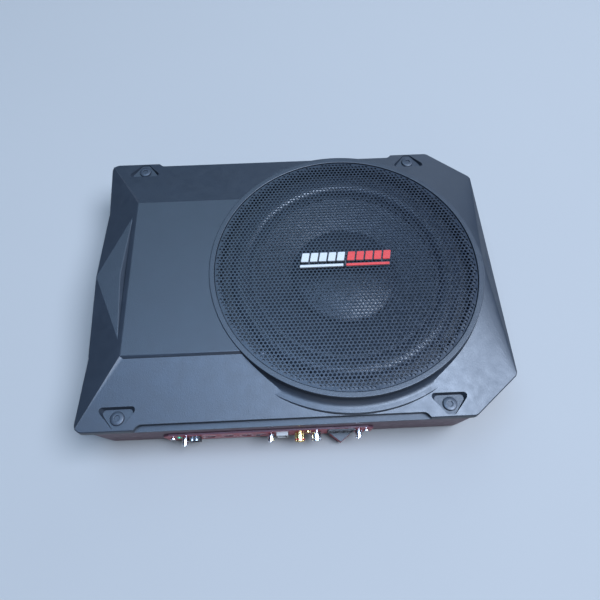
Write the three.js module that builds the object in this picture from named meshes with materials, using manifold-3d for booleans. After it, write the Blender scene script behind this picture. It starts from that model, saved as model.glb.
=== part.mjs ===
// Powered under-seat car subwoofer: a die-cast top housing with a slim 8 inch woofer under a
// perforated grille, on a tapered chassis that holds the amplifier and its control panel.
// Millimetres, +Z up, +X to the right, the control panel faces -Y.
import * as THREE from 'three';
import { mergeVertices } from 'three/addons/utils/BufferGeometryUtils.js';
import { ConvexGeometry } from 'three/addons/geometries/ConvexGeometry.js';
import Module from 'manifold-3d';

const wasm = await Module();
wasm.setup();

// ---- driving dimensions -------------------------------------------------------------------
const LENGTH = 345;              // top housing, left to right
const WIDTH = 260;               // top housing, front to rear
const FRONT_OVERHANG = 4.2;      // how far the input sockets stand out past the top housing
const GAP = 0.3;                 // clearance between pieces that touch

const FOOT = { radius: 12, height: 2.7, x: 128, y: 92 };
const FLOOR_Z = FOOT.height + GAP;       // underside of the chassis
const CHASSIS_TOP_Z = 56;
const SKIRT_Z = 57.5;                    // underside of the top housing
const EDGE_Z = 63;                       // outer edge of the top housing's sloping decks
const DECK_TOP_Z = 73.2;                 // where the decks meet the plateau
const PLATEAU_Z = 75.4;
const RIM_Z = 76.7;                      // flat lip around the grille

const CHAMFER = { x: 38, y: 31 };        // the two cut corners on the right
const PLATEAU = { left: -139, halfWidth: 74, riser: 2 };
const FACET = { wallX: -168.4, dentY: 70, bevelX: -143.3, crestZ: 73.8, peakZ: 72.3 };
const LEDGE = { depth: 4.5, z: 59, left: -120, right: 96, slant: 6 };
const SCREWS = { left: -139.5, right: 115, y: 120, headRadius: 5.6, shankRadius: 2.2 };
const POCKET = { halfWidth: 13.2, baseY: 113.6, apexY: 128.8, floorZ: 62.3 };

const RING_X = 44;                       // centre of the driver and the grille
const RING = { lipRadius: 116, coveRadius: 123.5, grilleRadius: 111.5, wellRadius: 107, ledgeRadius: 97 };
const GRILLE = { z: 74.3, thickness: 1.2 };
const WALL = { topInset: 1.2, bottomInset: 8, leftTopInset: 5.7, leftBottomInset: 8.5, thickness: 3 };
const PANEL = { left: -111, right: 59, z: 20, height: 30, thickness: 1.5 };

// ---- geometry helpers ---------------------------------------------------------------------
const v3 = (x, y, z) => new THREE.Vector3(x, y, z);

function solid(geometry) {
  const bare = geometry.clone();
  bare.deleteAttribute('normal');
  bare.deleteAttribute('uv');
  const merged = mergeVertices(bare, 1e-4);
  return new wasm.Manifold(new wasm.Mesh({
    numProp: 3,
    vertProperties: new Float32Array(merged.attributes.position.array),
    triVerts: new Uint32Array(merged.index.array),
  }));
}

function geometryOf(manifold) {
  const mesh = manifold.getMesh();
  const geometry = new THREE.BufferGeometry();
  geometry.setAttribute('position', new THREE.BufferAttribute(mesh.vertProperties, 3));
  geometry.setIndex(new THREE.BufferAttribute(mesh.triVerts, 1));
  geometry.computeVertexNormals();
  return geometry;
}

const union = (solids) => solids.reduce((whole, piece) => whole.add(piece));
const cut = (body, tools) => tools.reduce((rest, tool) => rest.subtract(tool), body);

// A box given by its low and high corners.
function box(low, high) {
  const size = high.map((value, i) => value - low[i]);
  const geometry = new THREE.BoxGeometry(...size);
  return geometry.translate(...high.map((value, i) => (value + low[i]) / 2));
}

// An upright cylinder from z0 to z1.
function post(x, y, z0, z1, radius, sides = 24) {
  const geometry = new THREE.CylinderGeometry(radius, radius, z1 - z0, sides);
  return geometry.rotateX(Math.PI / 2).translate(x, y, (z0 + z1) / 2);
}

// A solid of revolution about the upright axis at (x, 0). The profile lists [radius, z].
function turned(profile, x, segments = 48) {
  const points = profile.map(([radius, z]) => new THREE.Vector2(radius, z));
  if (THREE.ShapeUtils.isClockWise(points)) points.reverse();
  const closed = points[0].x > 0 ? [...points, points[0].clone()] : points;
  return new THREE.LatheGeometry(closed, segments).rotateX(Math.PI / 2).translate(x, 0, 0);
}

// A flat outline with each corner rounded. Corners are [x, y, radius].
function roundedShape(corners) {
  const shape = new THREE.Shape();
  corners.forEach(([x, y, radius], i) => {
    const corner = new THREE.Vector2(x, y);
    const before = new THREE.Vector2(...corners.at(i - 1).slice(0, 2)).sub(corner).setLength(radius);
    const after = new THREE.Vector2(...corners[(i + 1) % corners.length].slice(0, 2)).sub(corner);
    const start = before.add(corner);
    const end = after.setLength(radius).add(corner);
    if (i === 0) shape.moveTo(start.x, start.y);
    else shape.lineTo(start.x, start.y);
    if (radius > 0) shape.quadraticCurveTo(x, y, end.x, end.y);
  });
  shape.closePath();
  return shape;
}

function extruded(shape, z0, z1, curveSegments = 4) {
  const geometry = new THREE.ExtrudeGeometry(shape, { depth: z1 - z0, bevelEnabled: false, curveSegments });
  return geometry.translate(0, 0, z0);
}

// Corners of an outline moved inwards, each edge by its own distance. Edge i runs from corner i.
function insetCorners(corners, distances) {
  const lines = corners.map(([x, y], i) => {
    const [nextX, nextY] = corners[(i + 1) % corners.length];
    const normal = new THREE.Vector2(y - nextY, nextX - x).normalize();
    return { normal, offset: normal.x * x + normal.y * y + distances[i] };
  });
  return corners.map((corner, i) => {
    const a = lines.at(i - 1);
    const b = lines[i];
    const cross = a.normal.x * b.normal.y - a.normal.y * b.normal.x;
    return [
      (a.offset * b.normal.y - b.offset * a.normal.y) / cross,
      (b.offset * a.normal.x - a.offset * b.normal.x) / cross,
      corner[2],
    ];
  });
}

// A closed skin between two outlines with the same number of points, at two heights.
function lofted(lowShape, lowZ, highShape, highZ) {
  const low = lowShape.getPoints(4).slice(0, -1);
  const high = highShape.getPoints(4).slice(0, -1);
  const count = low.length;
  const positions = [];
  low.forEach((p) => positions.push(p.x, p.y, lowZ));
  high.forEach((p) => positions.push(p.x, p.y, highZ));
  const index = [];
  for (let i = 0; i < count; i += 1) {
    const next = (i + 1) % count;
    index.push(i, next, count + next, i, count + next, count + i);
  }
  THREE.ShapeUtils.triangulateShape(low, []).forEach(([a, b, c]) => index.push(a, c, b));
  THREE.ShapeUtils.triangulateShape(high, []).forEach(([a, b, c]) => {
    index.push(count + a, count + b, count + c);
  });
  const geometry = new THREE.BufferGeometry();
  geometry.setAttribute('position', new THREE.Float32BufferAttribute(positions, 3));
  geometry.setIndex(index);
  return geometry;
}

// The ground under a surface made of triangles of top points, carried straight down to the skirt.
function terrain(triangles) {
  const points = [...new Set(triangles.flat())];
  const positions = [...points, ...points.map((p) => v3(p.x, p.y, SKIRT_Z))].flatMap((p) => p.toArray());
  const below = (i) => i + points.length;
  const index = [];
  const edges = new Set();
  for (const triangle of triangles) {
    const [a, b, c] = triangle;
    const upward = (b.x - a.x) * (c.y - a.y) - (b.y - a.y) * (c.x - a.x) > 0;
    const [i, j, k] = (upward ? [a, b, c] : [a, c, b]).map((p) => points.indexOf(p));
    index.push(i, j, k, below(i), below(k), below(j));
    [[i, j], [j, k], [k, i]].forEach(([from, to]) => edges.add(`${from} ${to}`));
  }
  for (const edge of edges) {
    const [from, to] = edge.split(' ').map(Number);
    if (!edges.has(`${to} ${from}`)) {
      index.push(from, below(from), below(to), from, below(to), to);
    }
  }
  const geometry = new THREE.BufferGeometry();
  geometry.setAttribute('position', new THREE.Float32BufferAttribute(positions, 3));
  geometry.setIndex(index);
  return solid(geometry);
}

// ---- scene helpers ------------------------------------------------------------------------
const subwoofer = new THREE.Group();
subwoofer.position.y = FRONT_OVERHANG / 2;

function finish(color, roughness, metalness = 0) {
  return new THREE.MeshStandardMaterial({ color, roughness, metalness });
}

const FINISH = {
  casting: finish(0x50627d, 0.55, 0.3),
  chassis: finish(0x3a2a32, 0.6),
  panel: finish(0x8c3241, 0.5),
  blackPlastic: finish(0x17181b, 0.5),
  blackSteel: finish(0x14161a, 0.45, 0.4),
  rubber: finish(0x101114, 0.8),
  pulp: finish(0x1c1d21, 0.85),
  chrome: finish(0xd8dade, 0.15, 1),
  zinc: finish(0xb9bcc2, 0.35, 0.9),
  ferrite: finish(0x2a2b2e, 0.8),
  copper: finish(0xb06a35, 0.4, 0.8),
  white: finish(0xe6e8f0, 0.5),
  red: finish(0xc5202c, 0.5),
  gold: finish(0xd7b768, 0.25, 0.9),
  green: finish(0x2fae6b, 0.3),
  board: finish(0x1f5a3a, 0.6),
};

function add(name, geometry, material, parent = subwoofer) {
  const mesh = new THREE.Mesh(geometry, material);
  mesh.name = name;
  parent.add(mesh);
}

// ---- top housing --------------------------------------------------------------------------
const HALF_L = LENGTH / 2;
const HALF_W = WIDTH / 2;
const CORNER_ROUND = 7;

// The housing's outline without the facets' dents: front left, then round the right to rear left.
const CASE_CORNERS = [
  [-HALF_L, -HALF_W, CORNER_ROUND],
  [HALF_L - CHAMFER.x, -HALF_W, CORNER_ROUND],
  [HALF_L, -HALF_W + CHAMFER.y, CORNER_ROUND],
  [HALF_L, HALF_W - CHAMFER.y, CORNER_ROUND],
  [HALF_L - CHAMFER.x, HALF_W, CORNER_ROUND],
  [-HALF_L, HALF_W, CORNER_ROUND],
];
const DENTED_CORNERS = [
  ...CASE_CORNERS,
  [FACET.wallX, FACET.dentY, 0],
  [FACET.wallX, -FACET.dentY, 0],
];

// Points round the inner edge of the decks, with a half circle at the right.
function deckTop(inset, z) {
  const radius = PLATEAU.halfWidth + PLATEAU.riser - inset;
  const centreX = HALF_L - (DECK_TOP_Z - EDGE_Z) - PLATEAU.halfWidth - PLATEAU.riser;
  const points = [v3(PLATEAU.left + PLATEAU.riser + inset, -radius, z)];
  for (let i = 0; i <= 16; i += 1) {
    const angle = -Math.PI / 2 + Math.PI * i / 16;
    points.push(v3(centreX + radius * Math.cos(angle), radius * Math.sin(angle), z));
  }
  points.push(v3(PLATEAU.left + PLATEAU.riser + inset, radius, z));
  return points;
}

// The front deck, the rear deck and the smooth slope round the right end.
function decks() {
  const edge = CASE_CORNERS.map(([x, y]) => v3(x, y, EDGE_Z));
  const roof = solid(new ConvexGeometry([
    ...edge, ...edge.map((p) => v3(p.x, p.y, SKIRT_Z)), ...deckTop(0, DECK_TOP_Z),
  ]));
  const ridgeX = PLATEAU.left + PLATEAU.riser / 4;
  const ridgeY = PLATEAU.halfWidth + PLATEAU.riser / 4;
  const leftRegion = new THREE.Shape([
    new THREE.Vector2(-HALF_L, -HALF_W),
    new THREE.Vector2(ridgeX, -ridgeY),
    new THREE.Vector2(ridgeX, ridgeY),
    new THREE.Vector2(-HALF_L, HALF_W),
    new THREE.Vector2(-HALF_L - 5, HALF_W),
    new THREE.Vector2(-HALF_L - 5, -HALF_W),
  ]);
  return roof.subtract(solid(extruded(leftRegion, SKIRT_Z - 1, RIM_Z)));
}

// The raised plateau and the cut facets that fall from its left edge to the housing's left side.
function plateauAndFacets() {
  const { wallX, dentY, bevelX, crestZ, peakZ } = FACET;
  const halfWidth = PLATEAU.halfWidth;
  const foot = halfWidth + PLATEAU.riser;
  const along = (bevelX - PLATEAU.left) / (-HALF_L - PLATEAU.left);
  const crestY = halfWidth + along * (HALF_W - halfWidth);
  const peak = v3(wallX, 0, peakZ);
  const groove = v3(bevelX - 0.4, 0, crestZ - 3.6);
  const notch = v3(bevelX - 4.4, 0, crestZ);
  const middle = v3(PLATEAU.left, 0, PLATEAU_Z);
  const bevelMiddle = v3(bevelX, 0, crestZ);
  const ringMiddle = v3(RING_X, 0, PLATEAU_Z);
  const triangles = [];
  for (const side of [-1, 1]) {
    const corner = v3(-HALF_L, side * HALF_W, EDGE_Z);
    const top = v3(PLATEAU.left, side * halfWidth, PLATEAU_Z);
    const toe = v3(PLATEAU.left + PLATEAU.riser, side * foot, DECK_TOP_Z);
    const crest = v3(bevelX, side * crestY, crestZ);
    const shoulder = v3(bevelX, side * (halfWidth - 16), crestZ);
    const dent = v3(wallX, side * dentY, EDGE_Z);
    const ringTop = v3(RING_X, side * halfWidth, PLATEAU_Z);
    const ringToe = v3(RING_X, side * foot, DECK_TOP_Z);
    triangles.push(
      [middle, top, ringTop], [middle, ringTop, ringMiddle],
      [top, toe, ringToe], [top, ringToe, ringTop],
      [corner, toe, crest], [crest, toe, top],
      [top, shoulder, crest], [top, bevelMiddle, shoulder], [top, middle, bevelMiddle],
      [corner, crest, shoulder], [corner, shoulder, dent],
      [dent, shoulder, peak], [peak, shoulder, notch],
      [notch, shoulder, groove], [groove, shoulder, bevelMiddle],
    );
  }
  return terrain(triangles);
}

// The collar round the grille: a flat lip, a cove that flares down to the decks, and the well
// with the ledge that the driver's frame sits on.
function collar() {
  const { lipRadius, coveRadius, grilleRadius, wellRadius, ledgeRadius } = RING;
  const coveTop = RIM_Z - 1.2;
  const coveFoot = EDGE_Z + 1.5;
  const profile = [
    [ledgeRadius, 58.5], [coveRadius - 10, 58.5], [coveRadius - 10, 61], [coveRadius, 61],
  ];
  for (let i = 0; i <= 5; i += 1) {
    const angle = Math.PI / 2 * (1 - i / 5);
    profile.push([
      coveRadius - (coveRadius - lipRadius - 0.3) * Math.cos(angle),
      coveTop - (coveTop - coveFoot) * Math.sin(angle),
    ]);
  }
  profile.push(
    [lipRadius, RIM_Z - 0.4], [lipRadius - 0.5, RIM_Z], [grilleRadius + 0.6, RIM_Z],
    [grilleRadius, RIM_Z - 0.6], [grilleRadius, 74], [wellRadius, 74],
    [wellRadius, 62.5], [ledgeRadius, 62.5],
  );
  return solid(turned(profile, RING_X, 60));
}

// The hollow under the decks.
function housingHollow() {
  const low = insetCorners(CASE_CORNERS, [7.5, 7.5, 7.5, 7.5, 7.5, 13]);
  const points = low.flatMap(([x, y]) => [v3(x, y, SKIRT_Z - 1), v3(x, y, 60)]);
  return solid(new ConvexGeometry([...points, ...deckTop(8, 70)]));
}

// One lowered ledge along the front or rear edge, with slanted ends.
function ledgeCutter(side) {
  const inner = side * (HALF_W - LEDGE.depth);
  const outer = side * (HALF_W + 1);
  const shape = new THREE.Shape([
    new THREE.Vector2(LEDGE.left, inner),
    new THREE.Vector2(LEDGE.right, inner),
    new THREE.Vector2(LEDGE.right + LEDGE.slant, outer),
    new THREE.Vector2(LEDGE.left - LEDGE.slant, outer),
  ]);
  return solid(extruded(shape, LEDGE.z, RIM_Z));
}

const SCREW_PLACES = [
  ['front_left', SCREWS.left, -1], ['front_right', SCREWS.right, -1],
  ['rear_left', SCREWS.left, 1], ['rear_right', SCREWS.right, 1],
];

// The rounded triangular pocket round a housing screw, its point towards the nearest long edge.
function pocketCutter(x, side) {
  const corners = [
    [x - POCKET.halfWidth, side * POCKET.baseY, 3],
    [x + POCKET.halfWidth, side * POCKET.baseY, 3],
    [x, side * POCKET.apexY, 3],
  ];
  const shape = roundedShape(side < 0 ? [corners[0], corners[2], corners[1]] : corners);
  return solid(extruded(shape, POCKET.floorZ, RIM_Z, 3));
}

function topHousing() {
  const outline = solid(extruded(roundedShape(DENTED_CORNERS), SKIRT_Z - 1, RIM_Z + 1));
  const skin = decks().add(plateauAndFacets()).subtract(housingHollow());
  const bosses = SCREW_PLACES.map(([, x, side]) => solid(post(x, side * SCREWS.y, SKIRT_Z, 62, 6.5)));
  const body = union([skin, ...bosses]).intersect(outline);
  const driverWell = solid(post(RING_X, 0, SKIRT_Z - 1, RIM_Z + 1, RING.lipRadius - 1, 60));
  const tools = [ledgeCutter(-1), ledgeCutter(1)];
  for (const [, x, side] of SCREW_PLACES) {
    tools.push(pocketCutter(x, side));
    tools.push(solid(post(x, side * SCREWS.y, SKIRT_Z - 1, RIM_Z, SCREWS.shankRadius + GAP)));
  }
  return cut(cut(body, [driverWell]).add(collar()), tools);
}

add('top_housing', geometryOf(topHousing()), FINISH.casting);

// A button-head screw with a hexagon socket.
function buttonScrew(length) {
  const { headRadius, shankRadius } = SCREWS;
  const head = turned([
    [0, -length], [shankRadius, -length], [shankRadius, 0], [headRadius, 0], [headRadius, 0.8],
    [headRadius * 0.85, 2], [headRadius * 0.5, 2.8], [0, 2.8],
  ], 0, 24);
  return cut(solid(head), [solid(post(0, 0, 0.9, 4, 2.6, 6))]);
}

for (const [place, x, side] of SCREW_PLACES) {
  const screw = geometryOf(buttonScrew(16));
  screw.translate(x, side * SCREWS.y, POCKET.floorZ + GAP);
  add(`housing_screw_${place}`, screw, FINISH.blackSteel);
}

// ---- lower chassis ------------------------------------------------------------------------
const { topInset, bottomInset, leftTopInset, leftBottomInset, thickness } = WALL;
const WALL_SLOPE = (bottomInset - topInset) / (CHASSIS_TOP_Z - FLOOR_Z);
const WALL_TILT = Math.atan(WALL_SLOPE);

// The chassis outline at a height, moved in from the outer wall by extra.
function chassisShape(z, extra = 0) {
  const low = (CHASSIS_TOP_Z - z) / (CHASSIS_TOP_Z - FLOOR_Z);
  const side = topInset + (bottomInset - topInset) * low + extra;
  const left = leftTopInset + (leftBottomInset - leftTopInset) * low + extra;
  return roundedShape(insetCorners(CASE_CORNERS, [side, side, side, side, side, left]));
}

function chassisBlock(z0, z1, extra) {
  return solid(lofted(chassisShape(z0, extra), z0, chassisShape(z1, extra), z1));
}

// Turns and moves a shape from the panel's own frame, x right, y into the case, z up the wall.
const panelY = -(HALF_W - bottomInset + WALL_SLOPE * (PANEL.z - FLOOR_Z));
const onPanel = (geometry) => geometry.clone().rotateX(WALL_TILT).translate(0, panelY, PANEL.z);

function lowerChassis() {
  const shell = chassisBlock(FLOOR_Z, CHASSIS_TOP_Z, 0)
    .subtract(chassisBlock(FLOOR_Z + thickness, CHASSIS_TOP_Z + 2, thickness));
  const bossRoom = chassisBlock(FLOOR_Z, CHASSIS_TOP_Z, 0.5);
  const bosses = SCREW_PLACES.map(([, x, side]) => {
    return solid(post(x, side * SCREWS.y, 36, CHASSIS_TOP_Z, 5.5)).intersect(bossRoom);
  });
  const tools = SCREW_PLACES.map(([, x, side]) => {
    return solid(post(x, side * SCREWS.y, 42, RIM_Z, SCREWS.shankRadius + GAP));
  });
  tools.push(solid(onPanel(box([PANEL.left + 10, -5, -11.5], [PANEL.right - 9, 6, 12.6]))));
  return cut(union([shell, ...bosses]), tools);
}

add('lower_chassis', geometryOf(lowerChassis()), FINISH.chassis);

// A thin foam strip in the joint between the chassis and the top housing.
function housingGasket() {
  const z0 = CHASSIS_TOP_Z + GAP;
  const z1 = SKIRT_Z - GAP;
  return cut(solid(extruded(chassisShape(CHASSIS_TOP_Z, 0.6), z0, z1)), [
    solid(extruded(chassisShape(CHASSIS_TOP_Z, 2.6), z0 - 1, z1 + 1)),
  ]);
}

add('housing_gasket', geometryOf(housingGasket()), FINISH.rubber);

for (const [place, sideX, sideY] of [
  ['front_left', -1, -1], ['front_right', 1, -1], ['rear_left', -1, 1], ['rear_right', 1, 1],
]) {
  add(`foot_${place}`, post(sideX * FOOT.x, sideY * FOOT.y, 0, FOOT.height, FOOT.radius), FINISH.rubber);
}

// ---- grille and badge ---------------------------------------------------------------------
add('grille_mesh', turned([
  [0, GRILLE.z], [RING.grilleRadius - GAP, GRILLE.z],
  [RING.grilleRadius - GAP, GRILLE.z + GRILLE.thickness - 0.4],
  [RING.grilleRadius - 0.7, GRILLE.z + GRILLE.thickness], [0, GRILLE.z + GRILLE.thickness],
], RING_X, 60), FINISH.blackSteel);

const BADGE = { x: RING_X, y: 3, halfLength: 43, halfWidth: 9.5, thickness: 1 };
const badgeZ = GRILLE.z + GRILLE.thickness + GAP;

function badgeBar(x0, x1, y0, y1, z0, z1, radius) {
  const corners = [[x0, y0, radius], [x1, y0, radius], [x1, y1, radius], [x0, y1, radius]];
  return extruded(roundedShape(corners), z0, z1);
}

add('badge_plate', badgeBar(
  BADGE.x - BADGE.halfLength, BADGE.x + BADGE.halfLength,
  BADGE.y - BADGE.halfWidth, BADGE.y + BADGE.halfWidth, badgeZ, badgeZ + BADGE.thickness, 3,
), FINISH.blackPlastic);

const barZ = badgeZ + BADGE.thickness + GAP;
for (const [name, x0, x1, material] of [
  ['badge_white_bar', BADGE.x - BADGE.halfLength + 4, BADGE.x - 1, FINISH.white],
  ['badge_red_bar', BADGE.x + 1, BADGE.x + BADGE.halfLength - 4, FINISH.red],
]) {
  add(name, badgeBar(x0, x1, BADGE.y - 4, BADGE.y + 5, barZ, barZ + 0.6, 1.5), material);
}

// ---- slim driver --------------------------------------------------------------------------
const FLANGE_Z = 62.8;           // underside of the driver's mounting flange

function driverBasket() {
  const frame = solid(turned([
    [105.5, FLANGE_Z], [105.5, FLANGE_Z + 1.6], [96, FLANGE_Z + 1.6], [94, FLANGE_Z - 2],
    [60, 40], [46, 34.9], [24, 34.9], [24, 33.3], [46.5, 33.3], [61, 38.4],
    [94.5, 60.3], [96.2, FLANGE_Z],
  ], RING_X, 36));
  const windows = [];
  for (let i = 0; i < 6; i += 1) {
    const opening = box([63, -19, 25], [88, 19, 70]).rotateZ(Math.PI / 3 * (i + 0.5));
    windows.push(solid(opening.translate(RING_X, 0, 0)));
  }
  return cut(frame, windows);
}

add('driver_basket', geometryOf(driverBasket()), FINISH.blackSteel);

for (let i = 0; i < 4; i += 1) {
  const angle = Math.PI / 4 + i * Math.PI / 2;
  const head = turned([
    [0, 0], [2.7, 0], [2.7, 1.2], [1.9, 1.9], [0, 2.1],
  ], 0, 16).translate(RING_X + 102.6 * Math.cos(angle), 102.6 * Math.sin(angle), FLANGE_Z + 1.6 + GAP);
  add(`driver_screw_${i + 1}`, head, FINISH.zinc);
}

// The moving cone, its dust cap and its coil, and the two suspensions that carry them.
const ROLL = { inner: 81, outer: 98.5, height: 6 };

function surroundProfile() {
  const base = FLANGE_Z + 1.6 + GAP;
  const middle = (ROLL.inner + ROLL.outer) / 2;
  const reach = (ROLL.outer - ROLL.inner) / 2;
  const upper = [];
  const lower = [];
  for (let i = 0; i <= 6; i += 1) {
    const angle = Math.PI * i / 6;
    upper.push([middle + reach * Math.cos(angle), base + 1.2 + ROLL.height * Math.sin(angle)]);
    lower.push([middle - (reach - 1.2) * Math.cos(angle), base + ROLL.height * Math.sin(angle)]);
  }
  return [[99.5, base], [99.5, base + 1.2], ...upper, [78, base + 1.2], [78, base], ...lower];
}

add('surround', turned(surroundProfile(), RING_X, 32), FINISH.rubber);
add('cone', turned([
  [20.2, 50], [60, 59.9], [77.5, 64.4], [80.5, 64.4], [80.5, 63.2], [78, 63.2], [60, 58.6], [20.2, 48.6],
], RING_X, 36), FINISH.pulp);
add('dust_cap', turned([
  [46, 57.1], [46, 58.3], [42, 60.4], [30, 63.7], [14, 65.6], [0, 66],
  [0, 65], [14, 64.6], [30, 62.7], [42, 59.3], [44.6, 57.1],
], RING_X, 36), FINISH.pulp);
add('voice_coil', turned([
  [18.8, 22], [19.8, 22], [19.8, 52], [18.8, 52],
], RING_X), FINISH.copper);

function spiderProfile() {
  const rings = 7;
  const top = [];
  const bottom = [];
  for (let i = 0; i <= rings; i += 1) {
    const radius = 24 + i * 4.4;
    const wave = i % 2 ? 1.4 : -1.4;
    top.push([radius, 43 + wave]);
    bottom.unshift([radius, 42.2 + wave]);
  }
  return [[20.1, 43], ...top, [58, 43], [58, 42.2], ...bottom, [20.1, 42.2]];
}

add('spider', turned(spiderProfile(), RING_X, 24), finish(0x7a5a2a, 0.9));
add('top_plate', turned([[20.6, 28.3], [46, 28.3], [46, 33], [20.6, 33]], RING_X), FINISH.zinc);
add('magnet', turned([[27, 11.5], [52, 11.5], [52, 28], [27, 28]], RING_X), FINISH.ferrite);
add('pole_yoke', turned([
  [0, 8], [49, 8], [50, 8.6], [50, 11.2], [18, 11.2], [18, 33.5], [0, 33.5],
], RING_X), FINISH.zinc);

// ---- amplifier ----------------------------------------------------------------------------
const BOARD = { left: -158, right: -22, front: -104, rear: 96, z: 12 };
const HEAT_SINK = { x: -152, y: 66, length: 90, fins: 6, pitch: 7, fin: 2.4, base: 4, height: 22 };
const CAPACITORS = [{ number: 1, x: -78, y: 40 }, { number: 2, x: -56, y: 40 }];
add('amplifier_board', box([BOARD.left, BOARD.front, BOARD.z], [BOARD.right, BOARD.rear, BOARD.z + 1.6]),
  FINISH.board);
const onBoard = BOARD.z + 1.6 + GAP;

const heatSinkShape = new THREE.Shape();
heatSinkShape.moveTo(0, 0);
for (let fin = 0; fin < HEAT_SINK.fins; fin += 1) {
  const left = fin * HEAT_SINK.pitch;
  if (fin > 0) heatSinkShape.lineTo(left, HEAT_SINK.base);
  heatSinkShape.lineTo(left, HEAT_SINK.height);
  heatSinkShape.lineTo(left + HEAT_SINK.fin, HEAT_SINK.height);
  heatSinkShape.lineTo(left + HEAT_SINK.fin, HEAT_SINK.base);
}
heatSinkShape.lineTo(HEAT_SINK.fins * HEAT_SINK.pitch, HEAT_SINK.base);
heatSinkShape.lineTo(HEAT_SINK.fins * HEAT_SINK.pitch, 0);
heatSinkShape.closePath();
const heatSink = new THREE.ExtrudeGeometry(heatSinkShape, { depth: HEAT_SINK.length, bevelEnabled: false });
heatSink.rotateX(Math.PI / 2).translate(HEAT_SINK.x, HEAT_SINK.y, onBoard);
add('amplifier_heat_sink', heatSink, FINISH.zinc);

add('toroid_transformer', turned([
  [9, onBoard], [20, onBoard], [23, onBoard + 3], [23, onBoard + 15], [20, onBoard + 18],
  [9, onBoard + 18], [7, onBoard + 16], [7, onBoard + 2],
], 0, 32).translate(-78, -46, 0), FINISH.copper);

for (const { number, x, y } of CAPACITORS) {
  add(`filter_capacitor_${number}`, turned([
    [0, onBoard], [8, onBoard], [8, onBoard + 31], [7.4, onBoard + 32], [0, onBoard + 32],
  ], 0, 24).translate(x, y, 0), FINISH.blackPlastic);
}

// ---- control panel ------------------------------------------------------------------------
// Everything here is drawn in the panel's own frame: x right, y into the case, z up the wall.
const panelGroup = new THREE.Group();
panelGroup.position.set(0, panelY, PANEL.z);
panelGroup.rotation.x = WALL_TILT;
subwoofer.add(panelGroup);

const FACE_Y = -GAP - PANEL.thickness;       // outer face of the panel plate
const KNOBS = [['gain', -74.6], ['crossover', -59.7], ['bass_boost', -44.9]];
const KNOB = { radius: 3.6, z: -3 };
const STUDS = [['left', -94.3], ['centre', -24.5], ['right', 47.2]];
const STUD = { radius: 2.8, z: 4, reach: 6.5 };
const TRIM_SCREWS = [['left', -105], ['right', 54]];
const SWITCH = { x: -33.2, z: -3, halfLength: 4.8, halfHeight: 2.3 };
const INPUT = { x: -15.2, z: 2, halfLength: 4.8, halfHeight: 8 };
const JACKS = [['red', -1.1], ['white', 12.4]];
const JACK = { radius: 4.1, z: 2, reach: 7.5 };
const TERMINAL = { x: 33, z: 3.5, halfLength: 11, halfHeight: 8.5 };
const PORT = { x: -86.4, z: 1, halfLength: 4, halfHeight: 6 };
const LAMP = { x: -99.2, z: 5, radius: 1.5 };

// A round rod or tube along the panel's y, from y0 (outside) to y1 (inside).
function rod(x, z, y0, y1, radius, sides = 16) {
  const geometry = new THREE.CylinderGeometry(radius, radius, y1 - y0, sides);
  return geometry.translate(x, (y0 + y1) / 2, z);
}

// A block on the panel, centred on x and z.
function block(place, y0, y1, margin = 0) {
  const { x, z, halfLength, halfHeight } = place;
  return box(
    [x - halfLength - margin, y0, z - halfHeight - margin],
    [x + halfLength + margin, y1, z + halfHeight + margin],
  );
}

function panelPlate() {
  const half = PANEL.height / 2;
  const corners = [
    [PANEL.left, -half, 1], [PANEL.right, -half, 1], [PANEL.right, half - 5, 1],
    [PANEL.right - 5, half, 1], [PANEL.left + 5, half, 1], [PANEL.left, half - 5, 1],
  ];
  const plate = extruded(roundedShape(corners), GAP, GAP + PANEL.thickness).rotateX(Math.PI / 2);
  const holes = [
    ...KNOBS.map(([, x]) => rod(x, KNOB.z, -9, 9, KNOB.radius + 0.6)),
    ...STUDS.map(([, x]) => rod(x, STUD.z, -9, 9, 1.9)),
    ...TRIM_SCREWS.map(([, x]) => rod(x, 0, -9, 9, 1.3)),
    ...JACKS.map(([, x]) => rod(x, JACK.z, -9, 9, JACK.radius + GAP)),
    rod(LAMP.x, LAMP.z, -9, 9, LAMP.radius + GAP),
    block({ ...SWITCH, halfLength: 4, halfHeight: 1.8 }, -9, 9),
    block(INPUT, -9, 9, GAP),
    block(TERMINAL, -9, 9, GAP),
    block(PORT, -9, 9, GAP),
  ];
  return cut(solid(plate), holes.map(solid));
}

add('control_panel', geometryOf(panelPlate()), FINISH.panel, panelGroup);

for (const [side, x] of STUDS) {
  const face = FACE_Y - GAP;
  const stud = union([
    solid(rod(x, STUD.z, face - STUD.reach, face, STUD.radius)),
    solid(rod(x, STUD.z, face - 0.5, 5, 1.5)),
  ]);
  add(`panel_stud_${side}`, geometryOf(stud), FINISH.chrome, panelGroup);
}

for (const [side, x] of TRIM_SCREWS) {
  const trim = union([
    solid(rod(x, 0, FACE_Y - GAP - 1.4, FACE_Y - GAP, 2.2)),
    solid(rod(x, 0, FACE_Y - GAP - 0.5, -0.2, 1)),
  ]);
  add(`panel_screw_${side}`, geometryOf(trim), FINISH.chrome, panelGroup);
}

add('power_lamp', rod(LAMP.x, LAMP.z, FACE_Y - 1.2, 6, LAMP.radius), FINISH.green, panelGroup);

const portBody = solid(block(PORT, FACE_Y - 3.5, 8));
const portMouth = block({ ...PORT, halfLength: 2.6, halfHeight: 4.4 }, FACE_Y - 5, 4);
add('remote_port', geometryOf(portBody.subtract(solid(portMouth))), FINISH.blackPlastic, panelGroup);

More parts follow.
